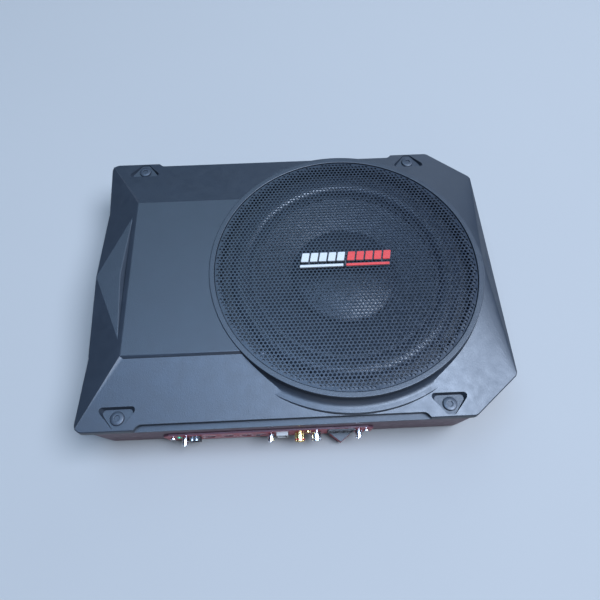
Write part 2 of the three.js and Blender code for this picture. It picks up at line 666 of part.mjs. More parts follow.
for (const [name, x] of KNOBS) {
  const pot = solid(block({ x, z: KNOB.z, halfLength: 5.5, halfHeight: 6 }, 1.2, 9))
    .subtract(solid(rod(x, KNOB.z, -9, 5, KNOB.radius + 0.7)));
  add(`${name}_pot`, geometryOf(pot), FINISH.blackPlastic, panelGroup);
  const knob = solid(rod(x, KNOB.z, FACE_Y + 0.5, 4.6, KNOB.radius, 24));
  const pointer = box([x - 0.5, FACE_Y - 1, KNOB.z], [x + 0.5, FACE_Y + 1.1, KNOB.z + 5]);
  add(`${name}_knob`, geometryOf(knob.subtract(solid(pointer))), FINISH.blackPlastic, panelGroup);
}

const switchBody = solid(block(SWITCH, 0.6, 8)).subtract(
  solid(block({ ...SWITCH, halfLength: 3.9, halfHeight: 1.6 }, -2, 4)),
);
add('phase_switch_body', geometryOf(switchBody), FINISH.blackPlastic, panelGroup);
add('phase_slider', block({ ...SWITCH, x: SWITCH.x - 2, halfLength: 1.6, halfHeight: 1.2 }, FACE_Y - 0.9, 3.7),
  FINISH.blackPlastic, panelGroup);

const inputBody = solid(block(INPUT, FACE_Y - 3, 8));
const inputMouth = block({ ...INPUT, halfLength: 3.5, halfHeight: 6.6 }, FACE_Y - 5, 5);
add('speaker_level_input', geometryOf(inputBody.subtract(solid(inputMouth))), FINISH.white, panelGroup);

for (const [color, x] of JACKS) {
  const outer = solid(rod(x, JACK.z, FACE_Y - JACK.reach, 8, JACK.radius, 24));
  const bore = solid(rod(x, JACK.z, FACE_Y - JACK.reach - 1, 6, JACK.radius - 0.7, 24));
  add(`rca_shell_${color}`, geometryOf(outer.subtract(bore)),
    color === 'red' ? FINISH.gold : FINISH.chrome, panelGroup);
  const plug = solid(rod(x, JACK.z, FACE_Y - JACK.reach + 0.6, 5.6, JACK.radius - 1, 24));
  const centre = solid(rod(x, JACK.z, FACE_Y - JACK.reach - 1, 3, 1.6, 16));
  add(`rca_insulator_${color}`, geometryOf(plug.subtract(centre)),
    color === 'red' ? FINISH.red : FINISH.white, panelGroup);
}

const groundScrew = rod(5.6, JACK.z + 7, FACE_Y - GAP - 1.6, FACE_Y - GAP, 2.2);
add('jack_ground_screw', groundScrew, FINISH.gold, panelGroup);

// Three wire entries in the face of the power terminal, and a clamp screw over each.
const CLAMP = { pitch: 7, screwZ: TERMINAL.z + 3, screwRadius: 2.4, slotHalf: 0.4 };
const ENTRY = { halfLength: 2.5, halfHeight: 2.9, z: TERMINAL.z - 4.4 };
const clampPlaces = [-1, 0, 1].map((i) => TERMINAL.x + i * CLAMP.pitch);
const terminalFace = FACE_Y - 1.2;
const terminalTools = clampPlaces.flatMap((x) => [
  solid(block({ ...ENTRY, x }, terminalFace - 1, 6)),
  solid(rod(x, CLAMP.screwZ, terminalFace - 1, 4, CLAMP.screwRadius + GAP, 20)),
]);
add('power_terminal', geometryOf(cut(solid(block(TERMINAL, terminalFace, 9)), terminalTools)),
  FINISH.blackPlastic, panelGroup);
clampPlaces.forEach((x, i) => {
  const slot = block({ x, z: CLAMP.screwZ, halfLength: 3, halfHeight: CLAMP.slotHalf },
    terminalFace - 1, terminalFace + 1.1);
  const screw = solid(rod(x, CLAMP.screwZ, terminalFace + 0.3, 3.7, CLAMP.screwRadius, 20));
  add(`terminal_screw_${i + 1}`, geometryOf(screw.subtract(solid(slot))), FINISH.zinc, panelGroup);
});

// A three-cornered shelf under the power terminal that carries the leads.
const NOSE = { x: 33, halfWidth: 10.2, reach: 8.2, top: -5.6, bottom: -15 };
const noseOutline = [
  [NOSE.x - NOSE.halfWidth, FACE_Y - GAP, 0.5],
  [NOSE.x, FACE_Y - GAP - NOSE.reach, 1],
  [NOSE.x + NOSE.halfWidth, FACE_Y - GAP, 0.5],
];
add('terminal_shelf', extruded(roundedShape(noseOutline), NOSE.bottom, NOSE.top), FINISH.casting, panelGroup);

export default subwoofer;
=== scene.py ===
"""Powered under-seat car subwoofer: the looks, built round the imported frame.

Shapes are drawn in millimetres in the housing's own frame, whose middle is the middle of the case,
and are brought into the frame's metres when a piece is finished.
"""
import math

import bmesh
import bpy
from mathutils import Matrix, Vector


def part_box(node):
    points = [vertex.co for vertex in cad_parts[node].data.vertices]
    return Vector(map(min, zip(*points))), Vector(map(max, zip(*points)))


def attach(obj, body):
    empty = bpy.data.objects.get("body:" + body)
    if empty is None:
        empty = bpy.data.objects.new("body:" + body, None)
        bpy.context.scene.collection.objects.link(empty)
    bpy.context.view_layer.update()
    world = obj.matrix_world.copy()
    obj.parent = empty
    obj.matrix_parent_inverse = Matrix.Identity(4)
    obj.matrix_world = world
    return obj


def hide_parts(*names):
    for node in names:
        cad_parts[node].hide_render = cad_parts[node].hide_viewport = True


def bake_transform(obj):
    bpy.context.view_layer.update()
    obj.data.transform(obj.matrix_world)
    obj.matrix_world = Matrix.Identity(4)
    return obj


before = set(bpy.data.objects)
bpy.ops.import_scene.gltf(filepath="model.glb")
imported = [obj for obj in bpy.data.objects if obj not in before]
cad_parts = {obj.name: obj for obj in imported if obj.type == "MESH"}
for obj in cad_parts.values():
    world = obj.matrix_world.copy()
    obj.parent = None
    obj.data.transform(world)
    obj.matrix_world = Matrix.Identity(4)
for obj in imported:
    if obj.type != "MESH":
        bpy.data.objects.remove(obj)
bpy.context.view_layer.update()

# ---- where things are, in millimetres ----
MM = 0.001


def middle_of(node):
    low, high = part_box(node)
    return (low + high) / 2 / MM


def span_of(node, axis):
    low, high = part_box(node)
    return low[axis] / MM, high[axis] / MM


RING_CENTRE = middle_of("grille_mesh")
CASE_Y = RING_CENTRE.y  # the case's middle line in the frame
RING_X = RING_CENTRE.x
FRAME_FROM_CASE = Matrix.Scale(MM, 4) @ Matrix.Translation((0, CASE_Y, 0))

HALF_LENGTH = 172.5
HALF_WIDTH = 130.0
SKIRT_Z, RIM_Z = span_of("top_housing", 2)
EDGE_Z = 63.0
DECK_TOP_Z = 73.2
PLATEAU_Z = 75.4
CHAMFER_X, CHAMFER_Y = 38.0, 31.0
CORNER_ROUND = 7.0
PLATEAU_LEFT, PLATEAU_HALF, RISER = -139.0, 74.0, 2.0
WALL_X, DENT_Y, BEVEL_X, CREST_Z, PEAK_Z = -168.4, 70.0, -143.3, 73.8, 72.3
LEDGE_LEFT, LEDGE_RIGHT, LEDGE_DEPTH, LEDGE_Z, LEDGE_SLANT = -123.0, 96.0, 4.5, 59.0, 6.0
SCREW_LEFT_X, SCREW_RIGHT_X, SCREW_Y = -139.5, 115.0, 120.0
POCKET_FLOOR = 62.3
LIP_R, COVE_R, GRILLE_R, WELL_R, LEDGE_R = 116.0, 125.5, 111.5, 107.0, 97.0
ROUND = 128  # sides of the large turned shapes

CHASSIS_LOW, CHASSIS_TOP = span_of("lower_chassis", 2)
WALL_SLOPE = 6.8 / 53
TOP_INSET, LEFT_TOP_INSET, LEFT_BOTTOM_INSET = 1.2, 5.7, 8.5
CHASSIS_WALL = 3.0

PANEL_LEFT, PANEL_RIGHT = span_of("control_panel", 0)
PANEL_HALF = 15.0  # half of its height
PANEL_Z = 20.0
PANEL_TILT = math.atan(WALL_SLOPE)
PANEL_Y = -(HALF_WIDTH - 8 + WALL_SLOPE * (PANEL_Z - CHASSIS_LOW))
ON_PANEL = Matrix.Translation((0, PANEL_Y, PANEL_Z)) @ Matrix.Rotation(PANEL_TILT, 4, "X")
UPRIGHT = Matrix.Rotation(math.radians(-90), 4, "X")
FACE_Y = -1.8  # outer face of the panel plate, in the panel's frame
SCREWS = [("front_left", SCREW_LEFT_X, -1), ("front_right", SCREW_RIGHT_X, -1),
          ("rear_left", SCREW_LEFT_X, 1), ("rear_right", SCREW_RIGHT_X, 1)]


# ---- mesh helpers ----
def new_object(name, bm):
    bmesh.ops.recalc_face_normals(bm, faces=bm.faces[:])
    mesh = bpy.data.meshes.new(name)
    bm.to_mesh(mesh)
    bm.free()
    obj = bpy.data.objects.new(name, mesh)
    bpy.context.scene.collection.objects.link(obj)
    return obj


def arc(cx, cy, radius, start, end, steps):
    """Points on an arc, angles in degrees, both ends included."""
    angles = [math.radians(start + (end - start) * i / steps) for i in range(steps + 1)]
    return [(cx + radius * math.cos(a), cy + radius * math.sin(a)) for a in angles]


def circle(cx, cy, radius, sides, start=0):
    return arc(cx, cy, radius, start, start + 360 - 360 / sides, sides - 1)


def rounded(corners, steps=6):
    """A closed outline whose corners (x, y, radius) are true arcs."""
    points = []
    for i, (x, y, radius) in enumerate(corners):
        corner = Vector((x, y))
        if radius <= 0:
            points.append((x, y))
            continue
        before = (Vector(corners[i - 1][:2]) - corner).normalized()
        after = (Vector(corners[(i + 1) % len(corners)][:2]) - corner).normalized()
        half = before.angle(after) / 2
        bisector = (before + after).normalized()
        centre = corner + bisector * radius / math.sin(half)
        start = corner + before * radius / math.tan(half) - centre
        end = corner + after * radius / math.tan(half) - centre
        turn = start.angle_signed(end)
        for step in range(steps + 1):
            spun = start.copy()
            spun.rotate(Matrix.Rotation(-turn * step / steps, 2))
            points.append(tuple(centre + spun))
    return points


def stack(*levels):
    """A closed body through outlines of equal length, each given with its height."""
    bm = bmesh.new()
    rings = [[bm.verts.new((x, y, z)) for x, y in outline] for outline, z in levels]
    bm.faces.new(rings[0][::-1])
    bm.faces.new(rings[-1])
    count = len(rings[0])
    for lower, upper in zip(rings, rings[1:]):
        for i in range(count):
            j = (i + 1) % count
            bm.faces.new((lower[i], lower[j], upper[j], upper[i]))
    return new_object("tool", bm)


def prism(outline, z0, z1):
    return stack((outline, z0), (outline, z1))


def box_outline(x, y, half_x, half_y, radius=0.0):
    return [(x - half_x, y - half_y, radius), (x + half_x, y - half_y, radius),
            (x + half_x, y + half_y, radius), (x - half_x, y + half_y, radius)]


def disc(x, y, z0, z1, radius, sides=32):
    return prism(circle(x, y, radius, sides), z0, z1)


def lathe(name, profile, x=0.0, y=0.0, sides=ROUND):
    """Turns a closed profile of (radius, z) about the upright axis at (x, y)."""
    bm = bmesh.new()
    rings = []
    for radius, z in profile:
        if radius < 1e-6:
            rings.append([bm.verts.new((x, y, z))])
            continue
        rings.append([bm.verts.new((x + px, y + py, z)) for px, py in circle(0, 0, radius, sides)])
    for a, b in zip(rings, rings[1:] + rings[:1]):
        if len(a) == 1 and len(b) == 1:
            continue
        for i in range(sides):
            j = (i + 1) % sides
            quad = [a[i % len(a)], a[j % len(a)], b[j % len(b)], b[i % len(b)]]
            bm.faces.new(list(dict.fromkeys(quad)))
    return new_object(name, bm)


def hull(points):
    bm = bmesh.new()
    for p in points:
        bm.verts.new(p)
    made = bmesh.ops.convex_hull(bm, input=bm.verts[:])
    spare = set(made["geom_interior"] + made["geom_unused"])
    bmesh.ops.delete(bm, geom=[v for v in spare if isinstance(v, bmesh.types.BMVert)], context="VERTS")
    bmesh.ops.dissolve_limit(bm, angle_limit=math.radians(0.2), verts=bm.verts[:], edges=bm.edges[:])
    return new_object("tool", bm)


def boolean(obj, tool, operation="DIFFERENCE"):
    """Cuts, joins or intersects a mesh with a tool, which is used up."""
    modifier = obj.modifiers.new("boolean", "BOOLEAN")
    modifier.object = tool
    modifier.operation = operation
    modifier.solver = "EXACT"
    graph = bpy.context.evaluated_depsgraph_get()
    mesh = bpy.data.meshes.new_from_object(obj.evaluated_get(graph))
    obj.modifiers.clear()
    obj.data = mesh
    bpy.data.objects.remove(tool)
    return obj


def tidy_faces(obj, angle=0.3):
    """Merges double points and faces that lie in one plane."""
    bm = bmesh.new()
    bm.from_mesh(obj.data)
    bmesh.ops.remove_doubles(bm, verts=bm.verts[:], dist=1e-4)
    bmesh.ops.dissolve_limit(
        bm, angle_limit=math.radians(angle), verts=bm.verts[:], edges=bm.edges[:], delimit={"NORMAL"})
    bm.to_mesh(obj.data)
    bm.free()


def is_ridge(edge, least_angle):
    return (len(edge.link_faces) == 2 and edge.is_convex
            and edge.calc_face_angle(0.0) > math.radians(least_angle))


def bevel(obj, width, segments, least_angle, chosen=None):
    """Rounds the ridges of a mesh, or only those that chosen(edge) picks."""
    bm = bmesh.new()
    bm.from_mesh(obj.data)
    edges = [e for e in bm.edges if is_ridge(e, least_angle) and (chosen is None or chosen(e))]
    bmesh.ops.bevel(bm, geom=edges, offset=width, offset_type="OFFSET", segments=segments,
                    profile=0.5, affect="EDGES", clamp_overlap=False)
    bm.to_mesh(obj.data)
    bm.free()
    return obj


def piece(name, obj, material, replaces=(), body="enclosure", matrix=None, sharp=32.0):
    """Names a piece, brings it into the frame, smooths it and hands it to its body."""
    obj.name = name
    place = FRAME_FROM_CASE @ matrix if matrix is not None else FRAME_FROM_CASE
    obj.data.transform(place)
    obj.data.shade_smooth()
    obj.data.set_sharp_from_angle(angle=math.radians(sharp))
    weighted = obj.modifiers.new("weighted_normals", "WEIGHTED_NORMAL")
    weighted.keep_sharp = True
    obj.data.materials.clear()
    obj.data.materials.append(material)
    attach(obj, body)
    if replaces:
        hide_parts(*replaces)
    return obj


def paint(node, material):
    """Gives a CAD node whose shape is right its finish."""
    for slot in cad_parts[node].material_slots:
        slot.material = material


def colour_by_facing(obj, material, keeps_first):
    """Another material on the faces whose normal keeps_first(normal) turns down: a colour chosen by facing,
    used here to paint shade and reflection.
    """
    obj.data.materials.append(material)
    for face in obj.data.polygons:
        face.material_index = 0 if keeps_first(face.normal) else 1


def joined(name, objects):
    """One object out of several."""
    bm = bmesh.new()
    for obj in objects:
        bm.from_mesh(obj.data)
        bpy.data.objects.remove(obj)
    return new_object(name, bm)


# ---- materials ----
def set_inputs(node, values):
    for key, value in values.items():
        node.inputs[key].default_value = value


def node_material(name, color, roughness, metallic=0.0, tint=0.06, tint_scale=60.0, spread=0.06,
                  grain=0.0, grain_scale=1800.0, coarse=0.0, coarse_scale=500.0, specular=0.5, coat=0.0):
    """A shader with clouded colour and roughness, and a bump of up to two grain sizes."""
    material = bpy.data.materials.new(name)
    material.use_nodes = True
    tree = material.node_tree
    shader = tree.nodes["Principled BSDF"]
    set_inputs(shader, {"Metallic": metallic, "Specular IOR Level": specular, "Coat Weight": coat,
                        "Coat Roughness": 0.1})
    place = tree.nodes.new("ShaderNodeTexCoord").outputs["Object"]
    low, high = 0.3, 0.7  # the range that the noise really covers

    def noise(scale, detail):
        node = tree.nodes.new("ShaderNodeTexNoise")
        set_inputs(node, {"Scale": scale, "Detail": detail})
        tree.links.new(place, node.inputs["Vector"])
        return node.outputs["Fac"]

    clouds = noise(tint_scale, 4.0)
    ramp = tree.nodes.new("ShaderNodeValToRGB")
    darker, lighter = ramp.color_ramp.elements
    darker.position, lighter.position = low, high
    darker.color = [c * (1 - tint) for c in color] + [1]
    lighter.color = [min(1.0, c * (1 + tint)) for c in color] + [1]
    tree.links.new(clouds, ramp.inputs["Fac"])
    tree.links.new(ramp.outputs["Color"], shader.inputs["Base Color"])

    gloss = tree.nodes.new("ShaderNodeMapRange")
    set_inputs(gloss, {"From Min": low, "From Max": high, "To Min": max(0.02, roughness - spread),
                       "To Max": min(1.0, roughness + spread)})
    tree.links.new(noise(tint_scale * 2.3, 3.0), gloss.inputs["Value"])
    tree.links.new(gloss.outputs["Result"], shader.inputs["Roughness"])

    normal = None
    for strength, scale in ((coarse, coarse_scale), (grain, grain_scale)):
        if strength <= 0:
            continue
        bump = tree.nodes.new("ShaderNodeBump")
        set_inputs(bump, {"Strength": strength, "Distance": 0.25 / scale})
        tree.links.new(noise(scale, 2.0), bump.inputs["Height"])
        if normal is not None:
            tree.links.new(normal, bump.inputs["Normal"])
        normal = bump.outputs["Normal"]
    if normal is not None:
        tree.links.new(normal, shader.inputs["Normal"])
    return material


CASTING = node_material("powder_coated_casting", (0.0105, 0.0140, 0.0195), 0.43, tint=0.05, spread=0.04,
                        grain=0.5, grain_scale=1700, coarse=0.12, coarse_scale=700)
CHASSIS = node_material("powder_coated_chassis", (0.070, 0.024, 0.038), 0.5, tint=0.08,
                        grain=0.4, grain_scale=1500)
PANEL = node_material("panel_paint", (0.30, 0.020, 0.034), 0.42, tint=0.08, grain=0.2, grain_scale=2200)
PRINT = node_material("panel_print", (0.45, 0.42, 0.42), 0.55, tint=0.04, tint_scale=400)
MESH_STEEL = node_material("grille_black_steel", (0.012, 0.016, 0.023), 0.30, metallic=0.1, tint=0.15,
                           tint_scale=120, specular=0.42)
SCREW_BLACK = node_material("screw_coating", (0.013, 0.017, 0.024), 0.45, metallic=0.1, tint=0.1,
                            tint_scale=300, grain=0.3, grain_scale=2500)
BLACK_STEEL = node_material("basket_paint", (0.012, 0.014, 0.018), 0.45, tint=0.1, grain=0.3)
BLACK_PLASTIC = node_material("black_plastic", (0.013, 0.013, 0.016), 0.48, tint=0.1, tint_scale=200,
                              grain=0.4, grain_scale=2600)
WHITE_PLASTIC = node_material("white_plastic", (0.30, 0.29, 0.27), 0.4, tint=0.03, tint_scale=200,
                              grain=0.1)
RED_PLASTIC = node_material("red_plastic", (0.34, 0.018, 0.014), 0.42, tint=0.06, tint_scale=200, grain=0.1)
RUBBER = node_material("rubber", (0.014, 0.015, 0.018), 0.62, tint=0.15, tint_scale=150, grain=0.5,
                       grain_scale=1200)
SURROUND_RUBBER = node_material("surround_rubber", (0.030, 0.036, 0.046), 0.32, tint=0.12, tint_scale=90,
                                grain=0.3, grain_scale=1500)
PULP = node_material("cone_pulp", (0.022, 0.027, 0.036), 0.34, tint=0.25, tint_scale=180, coarse=0.3,
                     coarse_scale=500, grain=0.5, grain_scale=1700)
CHROME = node_material("chrome", (0.78, 0.79, 0.82), 0.1, metallic=1.0, tint=0.04, tint_scale=150,
                       spread=0.03)
GOLD = node_material("gold_plate", (0.72, 0.56, 0.25), 0.18, metallic=1.0, tint=0.06, tint_scale=180,
                     spread=0.04)
ZINC = node_material("zinc_plate", (0.46, 0.48, 0.52), 0.35, metallic=1.0, tint=0.12, tint_scale=220,
                     grain=0.3)
BLACK_ZINC = node_material("black_zinc", (0.07, 0.075, 0.085), 0.45, metallic=0.8, tint=0.12, grain=0.3)
FERRITE = node_material("ferrite", (0.03, 0.03, 0.033), 0.75, tint=0.25, tint_scale=200, coarse=0.5)
COPPER = node_material("enamelled_copper", (0.55, 0.2, 0.07), 0.3, metallic=0.9, tint=0.15, tint_scale=200)
CLOTH = node_material("spider_cloth", (0.22, 0.13, 0.035), 0.85, tint=0.25, tint_scale=700, coarse=0.8,
                      coarse_scale=900)
BOARD = node_material("solder_mask", (0.018, 0.1, 0.045), 0.3, tint=0.2, tint_scale=300, coat=0.5)
LENS = node_material("lamp_lens", (0.03, 0.55, 0.26), 0.15, tint=0.1, tint_scale=300, coat=0.8)

# ---- top housing ----
CASE_CORNERS = [
    (-HALF_LENGTH, -HALF_WIDTH), (HALF_LENGTH - CHAMFER_X, -HALF_WIDTH),
    (HALF_LENGTH, -HALF_WIDTH + CHAMFER_Y), (HALF_LENGTH, HALF_WIDTH - CHAMFER_Y),
    (HALF_LENGTH - CHAMFER_X, HALF_WIDTH), (-HALF_LENGTH, HALF_WIDTH),
]


def inset_case(side, left):
    """The case's corners moved inwards, the left edge by its own distance."""
    lines = []
    for i, (x, y) in enumerate(CASE_CORNERS):
        next_x, next_y = CASE_CORNERS[(i + 1) % len(CASE_CORNERS)]
        normal = Vector((y - next_y, next_x - x)).normalized()
        distance = left if i == len(CASE_CORNERS) - 1 else side
        lines.append((normal, normal.dot(Vector((x, y))) + distance))
    corners = []
    for i, (b, b_offset) in enumerate(lines):
        a, a_offset = lines[i - 1]
        cross = a.x * b.y - a.y * b.x
        x = (a_offset * b.y - b_offset * a.y) / cross
        y = (b_offset * a.x - a_offset * b.x) / cross
        corners.append((x, y))
    return corners


def deck_top(inset, z, steps=40):
    """The upper edge of the sloping decks: straight sides and a half round about the grille."""
    radius = PLATEAU_HALF + RISER - inset
    centre = HALF_LENGTH - (DECK_TOP_Z - EDGE_Z) - PLATEAU_HALF - RISER
    left = PLATEAU_LEFT + RISER + inset
    bow = [(x, y, z) for x, y in arc(centre, 0, radius, -90, 90, steps)]
    return [(left, -radius, z), *bow, (left, radius, z)]


def decks():
    """The sloping decks without the region at the left, where the facets go."""
    foot = [(x, y, z) for x, y in CASE_CORNERS for z in (EDGE_Z, SKIRT_Z)]
    roof = hull([*foot, *deck_top(0, DECK_TOP_Z)])
    ridge_x, ridge_y = PLATEAU_LEFT + RISER / 4, PLATEAU_HALF + RISER / 4
    outside = -HALF_LENGTH - 5
    left_region = [
        (-HALF_LENGTH, -HALF_WIDTH), (ridge_x, -ridge_y), (ridge_x, ridge_y),
        (-HALF_LENGTH, HALF_WIDTH), (outside, HALF_WIDTH), (outside, -HALF_WIDTH),
    ]
    return boolean(roof, prism(left_region, SKIRT_Z - 1, RIM_Z))


def terrain(triangles):
    """The closed ground under a surface of triangles, carried straight down to the skirt."""
    bm = bmesh.new()
    tops = {}
    for point in {p for triangle in triangles for p in triangle}:
        tops[point] = bm.verts.new(point)
    for triangle in triangles:
        bm.faces.new([tops[p] for p in triangle])
    bmesh.ops.recalc_face_normals(bm, faces=bm.faces[:])
    raised = bmesh.ops.extrude_face_region(bm, geom=bm.faces[:])
    for vert in [g for g in raised["geom"] if isinstance(g, bmesh.types.BMVert)]:
        vert.co.z = SKIRT_Z
    bmesh.ops.dissolve_limit(bm, angle_limit=math.radians(0.3), verts=bm.verts[:], edges=bm.edges[:])
    return new_object("facets", bm)


def plateau_and_facets():
    """The flat plateau, its risers, and the cut facets with a groove behind the middle one."""
    notch_width, groove_depth = 4.4, 3.6
    foot = PLATEAU_HALF + RISER
    along = (BEVEL_X - PLATEAU_LEFT) / (-HALF_LENGTH - PLATEAU_LEFT)
    crest_y = PLATEAU_HALF + along * (HALF_WIDTH - PLATEAU_HALF)
    peak = (WALL_X, 0, PEAK_Z)
    groove = (BEVEL_X - 0.4, 0, CREST_Z - groove_depth)
    notch = (BEVEL_X - notch_width, 0, CREST_Z)
    middle = (PLATEAU_LEFT, 0, PLATEAU_Z)
    bevel_middle = (BEVEL_X, 0, CREST_Z)
    ring_middle = (RING_X, 0, PLATEAU_Z)
    triangles = []
    for side in (-1, 1):
        corner = (-HALF_LENGTH, side * HALF_WIDTH, EDGE_Z)
        top = (PLATEAU_LEFT, side * PLATEAU_HALF, PLATEAU_Z)
        toe = (PLATEAU_LEFT + RISER, side * foot, DECK_TOP_Z)
        crest = (BEVEL_X, side * crest_y, CREST_Z)
        shoulder = (BEVEL_X, side * (PLATEAU_HALF - 16), CREST_Z)
        dent = (WALL_X, side * DENT_Y, EDGE_Z)
        ring_top = (RING_X, side * PLATEAU_HALF, PLATEAU_Z)
        ring_toe = (RING_X, side * foot, DECK_TOP_Z)
        triangles += [
            (middle, top, ring_top), (middle, ring_top, ring_middle),
            (top, toe, ring_toe), (top, ring_toe, ring_top),
            (corner, toe, crest), (crest, toe, top),
            (top, shoulder, crest), (top, bevel_middle, shoulder), (top, middle, bevel_middle),
            (corner, crest, shoulder), (corner, shoulder, dent),
            (dent, shoulder, peak), (peak, shoulder, notch),
            (notch, shoulder, groove), (groove, shoulder, bevel_middle),
        ]
    return terrain(triangles)


def collar():
    """The grille's rim: a lip, a hollow wall below it and a flat skirt with a short edge."""
    foot_z, skirt_z, flat_z, seat_z, ledge_z = 58.5, 61, 67.5, 74, 62.5
    hollow, lip_round, skirt_round = 6.0, 0.6, 1.0
    foot_r = COVE_R - 10
    profile = [(LEDGE_R, foot_z), (foot_r, foot_z), (foot_r, skirt_z), (COVE_R, skirt_z)]
    profile += arc(COVE_R - skirt_round, flat_z - 1.2, skirt_round, 0, 80, 5)
    profile += arc(LIP_R + 0.3 + hollow, flat_z + hollow, hollow, 268, 184, 12)
    profile += arc(LIP_R - lip_round, RIM_Z - lip_round, lip_round, 0, 90, 4)
    profile += arc(GRILLE_R + lip_round, RIM_Z - lip_round, lip_round, 90, 180, 4)
    profile += [(GRILLE_R, seat_z), (WELL_R, seat_z), (WELL_R, ledge_z), (LEDGE_R, ledge_z)]
    return lathe("collar", profile, RING_X, 0, 180)


# A screw pocket's outlines at its floor and at the top: half of the long side, where that side lies,
# half of the blunt point and where it lies.
POCKET_LOW = (14.2, 112.9, 3.0, 128.0)
POCKET_HIGH = (17.2, 111.9, 3.6, 128.9)
POCKET_TOP_Z = 66.5
POCKET_ROUND, POINT_ROUND = 2.8, 1.8


def pocket_outline(x, side, size):
    long_half, base, blunt_half, point = size
    corners = [(x - long_half, side * base, POCKET_ROUND), (x + long_half, side * base, POCKET_ROUND),
               (x + blunt_half, side * point, POINT_ROUND), (x - blunt_half, side * point, POINT_ROUND)]
    return rounded(corners if side > 0 else corners[::-1], 6)


def pocket_cutter(x, side):
    low, high = (pocket_outline(x, side, size) for size in (POCKET_LOW, POCKET_HIGH))
    return stack((low, POCKET_FLOOR), (high, POCKET_TOP_Z), (high, RIM_Z))


def ledge_cutter(side):
    """The long step along the front or the rear edge."""
    inner, outer, round_end = side * (HALF_WIDTH - LEDGE_DEPTH), side * (HALF_WIDTH + 2), 6
    corners = [(LEDGE_LEFT, inner, round_end), (LEDGE_RIGHT, inner, round_end),
               (LEDGE_RIGHT + LEDGE_SLANT, outer, 0), (LEDGE_LEFT - LEDGE_SLANT, outer, 0)]
    return prism(rounded(corners if side > 0 else corners[::-1], 6), LEDGE_Z, RIM_Z)


def on_outer_fold(edge):
    """The edge between a deck or facet and the side wall."""
    return all(abs(v.co.z - EDGE_Z) < 0.6 for v in edge.verts)


def on_upper_ridge(edge):
    """A ridge of the plateau or the facets."""
    return all(v.co.z > EDGE_Z + 2 for v in edge.verts)


def top_housing():
    boss_r = 6.5
    body = boolean(decks(), plateau_and_facets(), "UNION")
    hollow = deck_top(8, 70, 12)
    hollow += [(x, y, z) for x, y in inset_case(7.5, 13) for z in (SKIRT_Z - 1, 60)]
    boolean(body, hull(hollow))
    dented = [(x, y, CORNER_ROUND) for x, y in CASE_CORNERS]
    dented += [(WALL_X, DENT_Y, 0), (WALL_X, -DENT_Y, 0)]
    boolean(body, prism(rounded(dented, 8), SKIRT_Z - 1, RIM_Z + 1), "INTERSECT")
    tidy_faces(body)
    bevel(body, 0.9, 3, 40, on_outer_fold)
    bevel(body, 0.5, 3, 14, on_upper_ridge)
    boolean(body, disc(RING_X, 0, SKIRT_Z - 1, RIM_Z + 1, LIP_R - 1, 180))
    for _, x, side in SCREWS:
        boolean(body, disc(x, side * SCREW_Y, SKIRT_Z, POCKET_FLOOR + 0.1, boss_r), "UNION")
    boolean(body, collar(), "UNION")
    for side in (-1, 1):
        boolean(body, ledge_cutter(side))
    for _, x, side in SCREWS:
        boolean(body, pocket_cutter(x, side))
    tidy_faces(body, 0.02)
    return body


piece("top_housing_casting", top_housing(), CASTING, ["top_housing"])


def button_screw(x, y, z):
    """A flat-topped button-head screw with a hexagon socket, its head's seat at z."""
    radius, height, socket, shank, length = 5.45, 1.7, 2.3, 2.2, 16
    profile = [(0, -length), (shank, -length), (shank, -0.01), (radius - 0.3, 0), (radius, 0.3),
               (radius, 0.8), (radius - 0.3, 1.25), (radius - 0.9, 1.5), (3.4, 1.65), (3.0, height),
               (0, height)]
    screw = lathe("screw", [(r, z + h) for r, h in profile], x, y, 48)
    boolean(screw, disc(x, y, z + 0.8, z + 5, socket, 6))
    return bevel(screw, 0.15, 2, 50, lambda e: all(v.co.z > z + 1.5 for v in e.verts))


for place, x, side in SCREWS:
    piece(f"button_screw_{place}", button_screw(x, side * SCREW_Y, POCKET_FLOOR + 0.3), SCREW_BLACK,
          [f"housing_screw_{place}"])


# ---- lower chassis and feet ----
def chassis_outline(z, extra=0.0):
    """The tray's outline at a height, moved inwards by extra."""
    low = (CHASSIS_TOP - z) / (CHASSIS_TOP - CHASSIS_LOW)
    side = TOP_INSET + WALL_SLOPE * (CHASSIS_TOP - z) + extra
    left = LEFT_TOP_INSET + (LEFT_BOTTOM_INSET - LEFT_TOP_INSET) * low + extra
    return rounded([(x, y, CORNER_ROUND) for x, y in inset_case(side, left)], 8)


def lower_chassis():
    window_margin, window_low, window_high = 9.5, -11.5, 12.6
    outer = [(chassis_outline(z), z) for z in (CHASSIS_LOW, CHASSIS_TOP)]
    inner = [(chassis_outline(z, CHASSIS_WALL), z) for z in (CHASSIS_LOW + CHASSIS_WALL, CHASSIS_TOP + 2)]
    shell = boolean(stack(*outer), stack(*inner))
    middle, half = (PANEL_LEFT + PANEL_RIGHT) / 2, (PANEL_RIGHT - PANEL_LEFT) / 2 - window_margin
    window = prism(rounded(box_outline(middle, 0, half, 6)), window_low, window_high)
    window.data.transform(ON_PANEL)
    boolean(shell, window)
    tidy_faces(shell)
    return bevel(shell, 1.6, 4, 40, lambda e: all(abs(v.co.z - CHASSIS_LOW) < 0.01 for v in e.verts))


piece("chassis_tray", lower_chassis(), CHASSIS, ["lower_chassis"])
paint("housing_gasket", RUBBER)


def foot(node):
    middle = middle_of(node) - Vector((0, CASE_Y, 0))
    low, high = span_of(node, 2)
    radius = 12.0
    profile = [(0, low), (4, low), (4.4, low + 0.8), (5.6, low + 0.8), (6, low),
               *arc(radius - 0.9, low + 0.9, 0.9, -90, 0, 4), *arc(radius - 0.4, high - 0.4, 0.4, 0, 90, 3),
               (0, high)]
    return lathe("foot", profile, middle.x, middle.y, 48)


for place, _, _ in SCREWS:
    piece(f"rubber_foot_{place}", foot(f"foot_{place}"), RUBBER, [f"foot_{place}"])


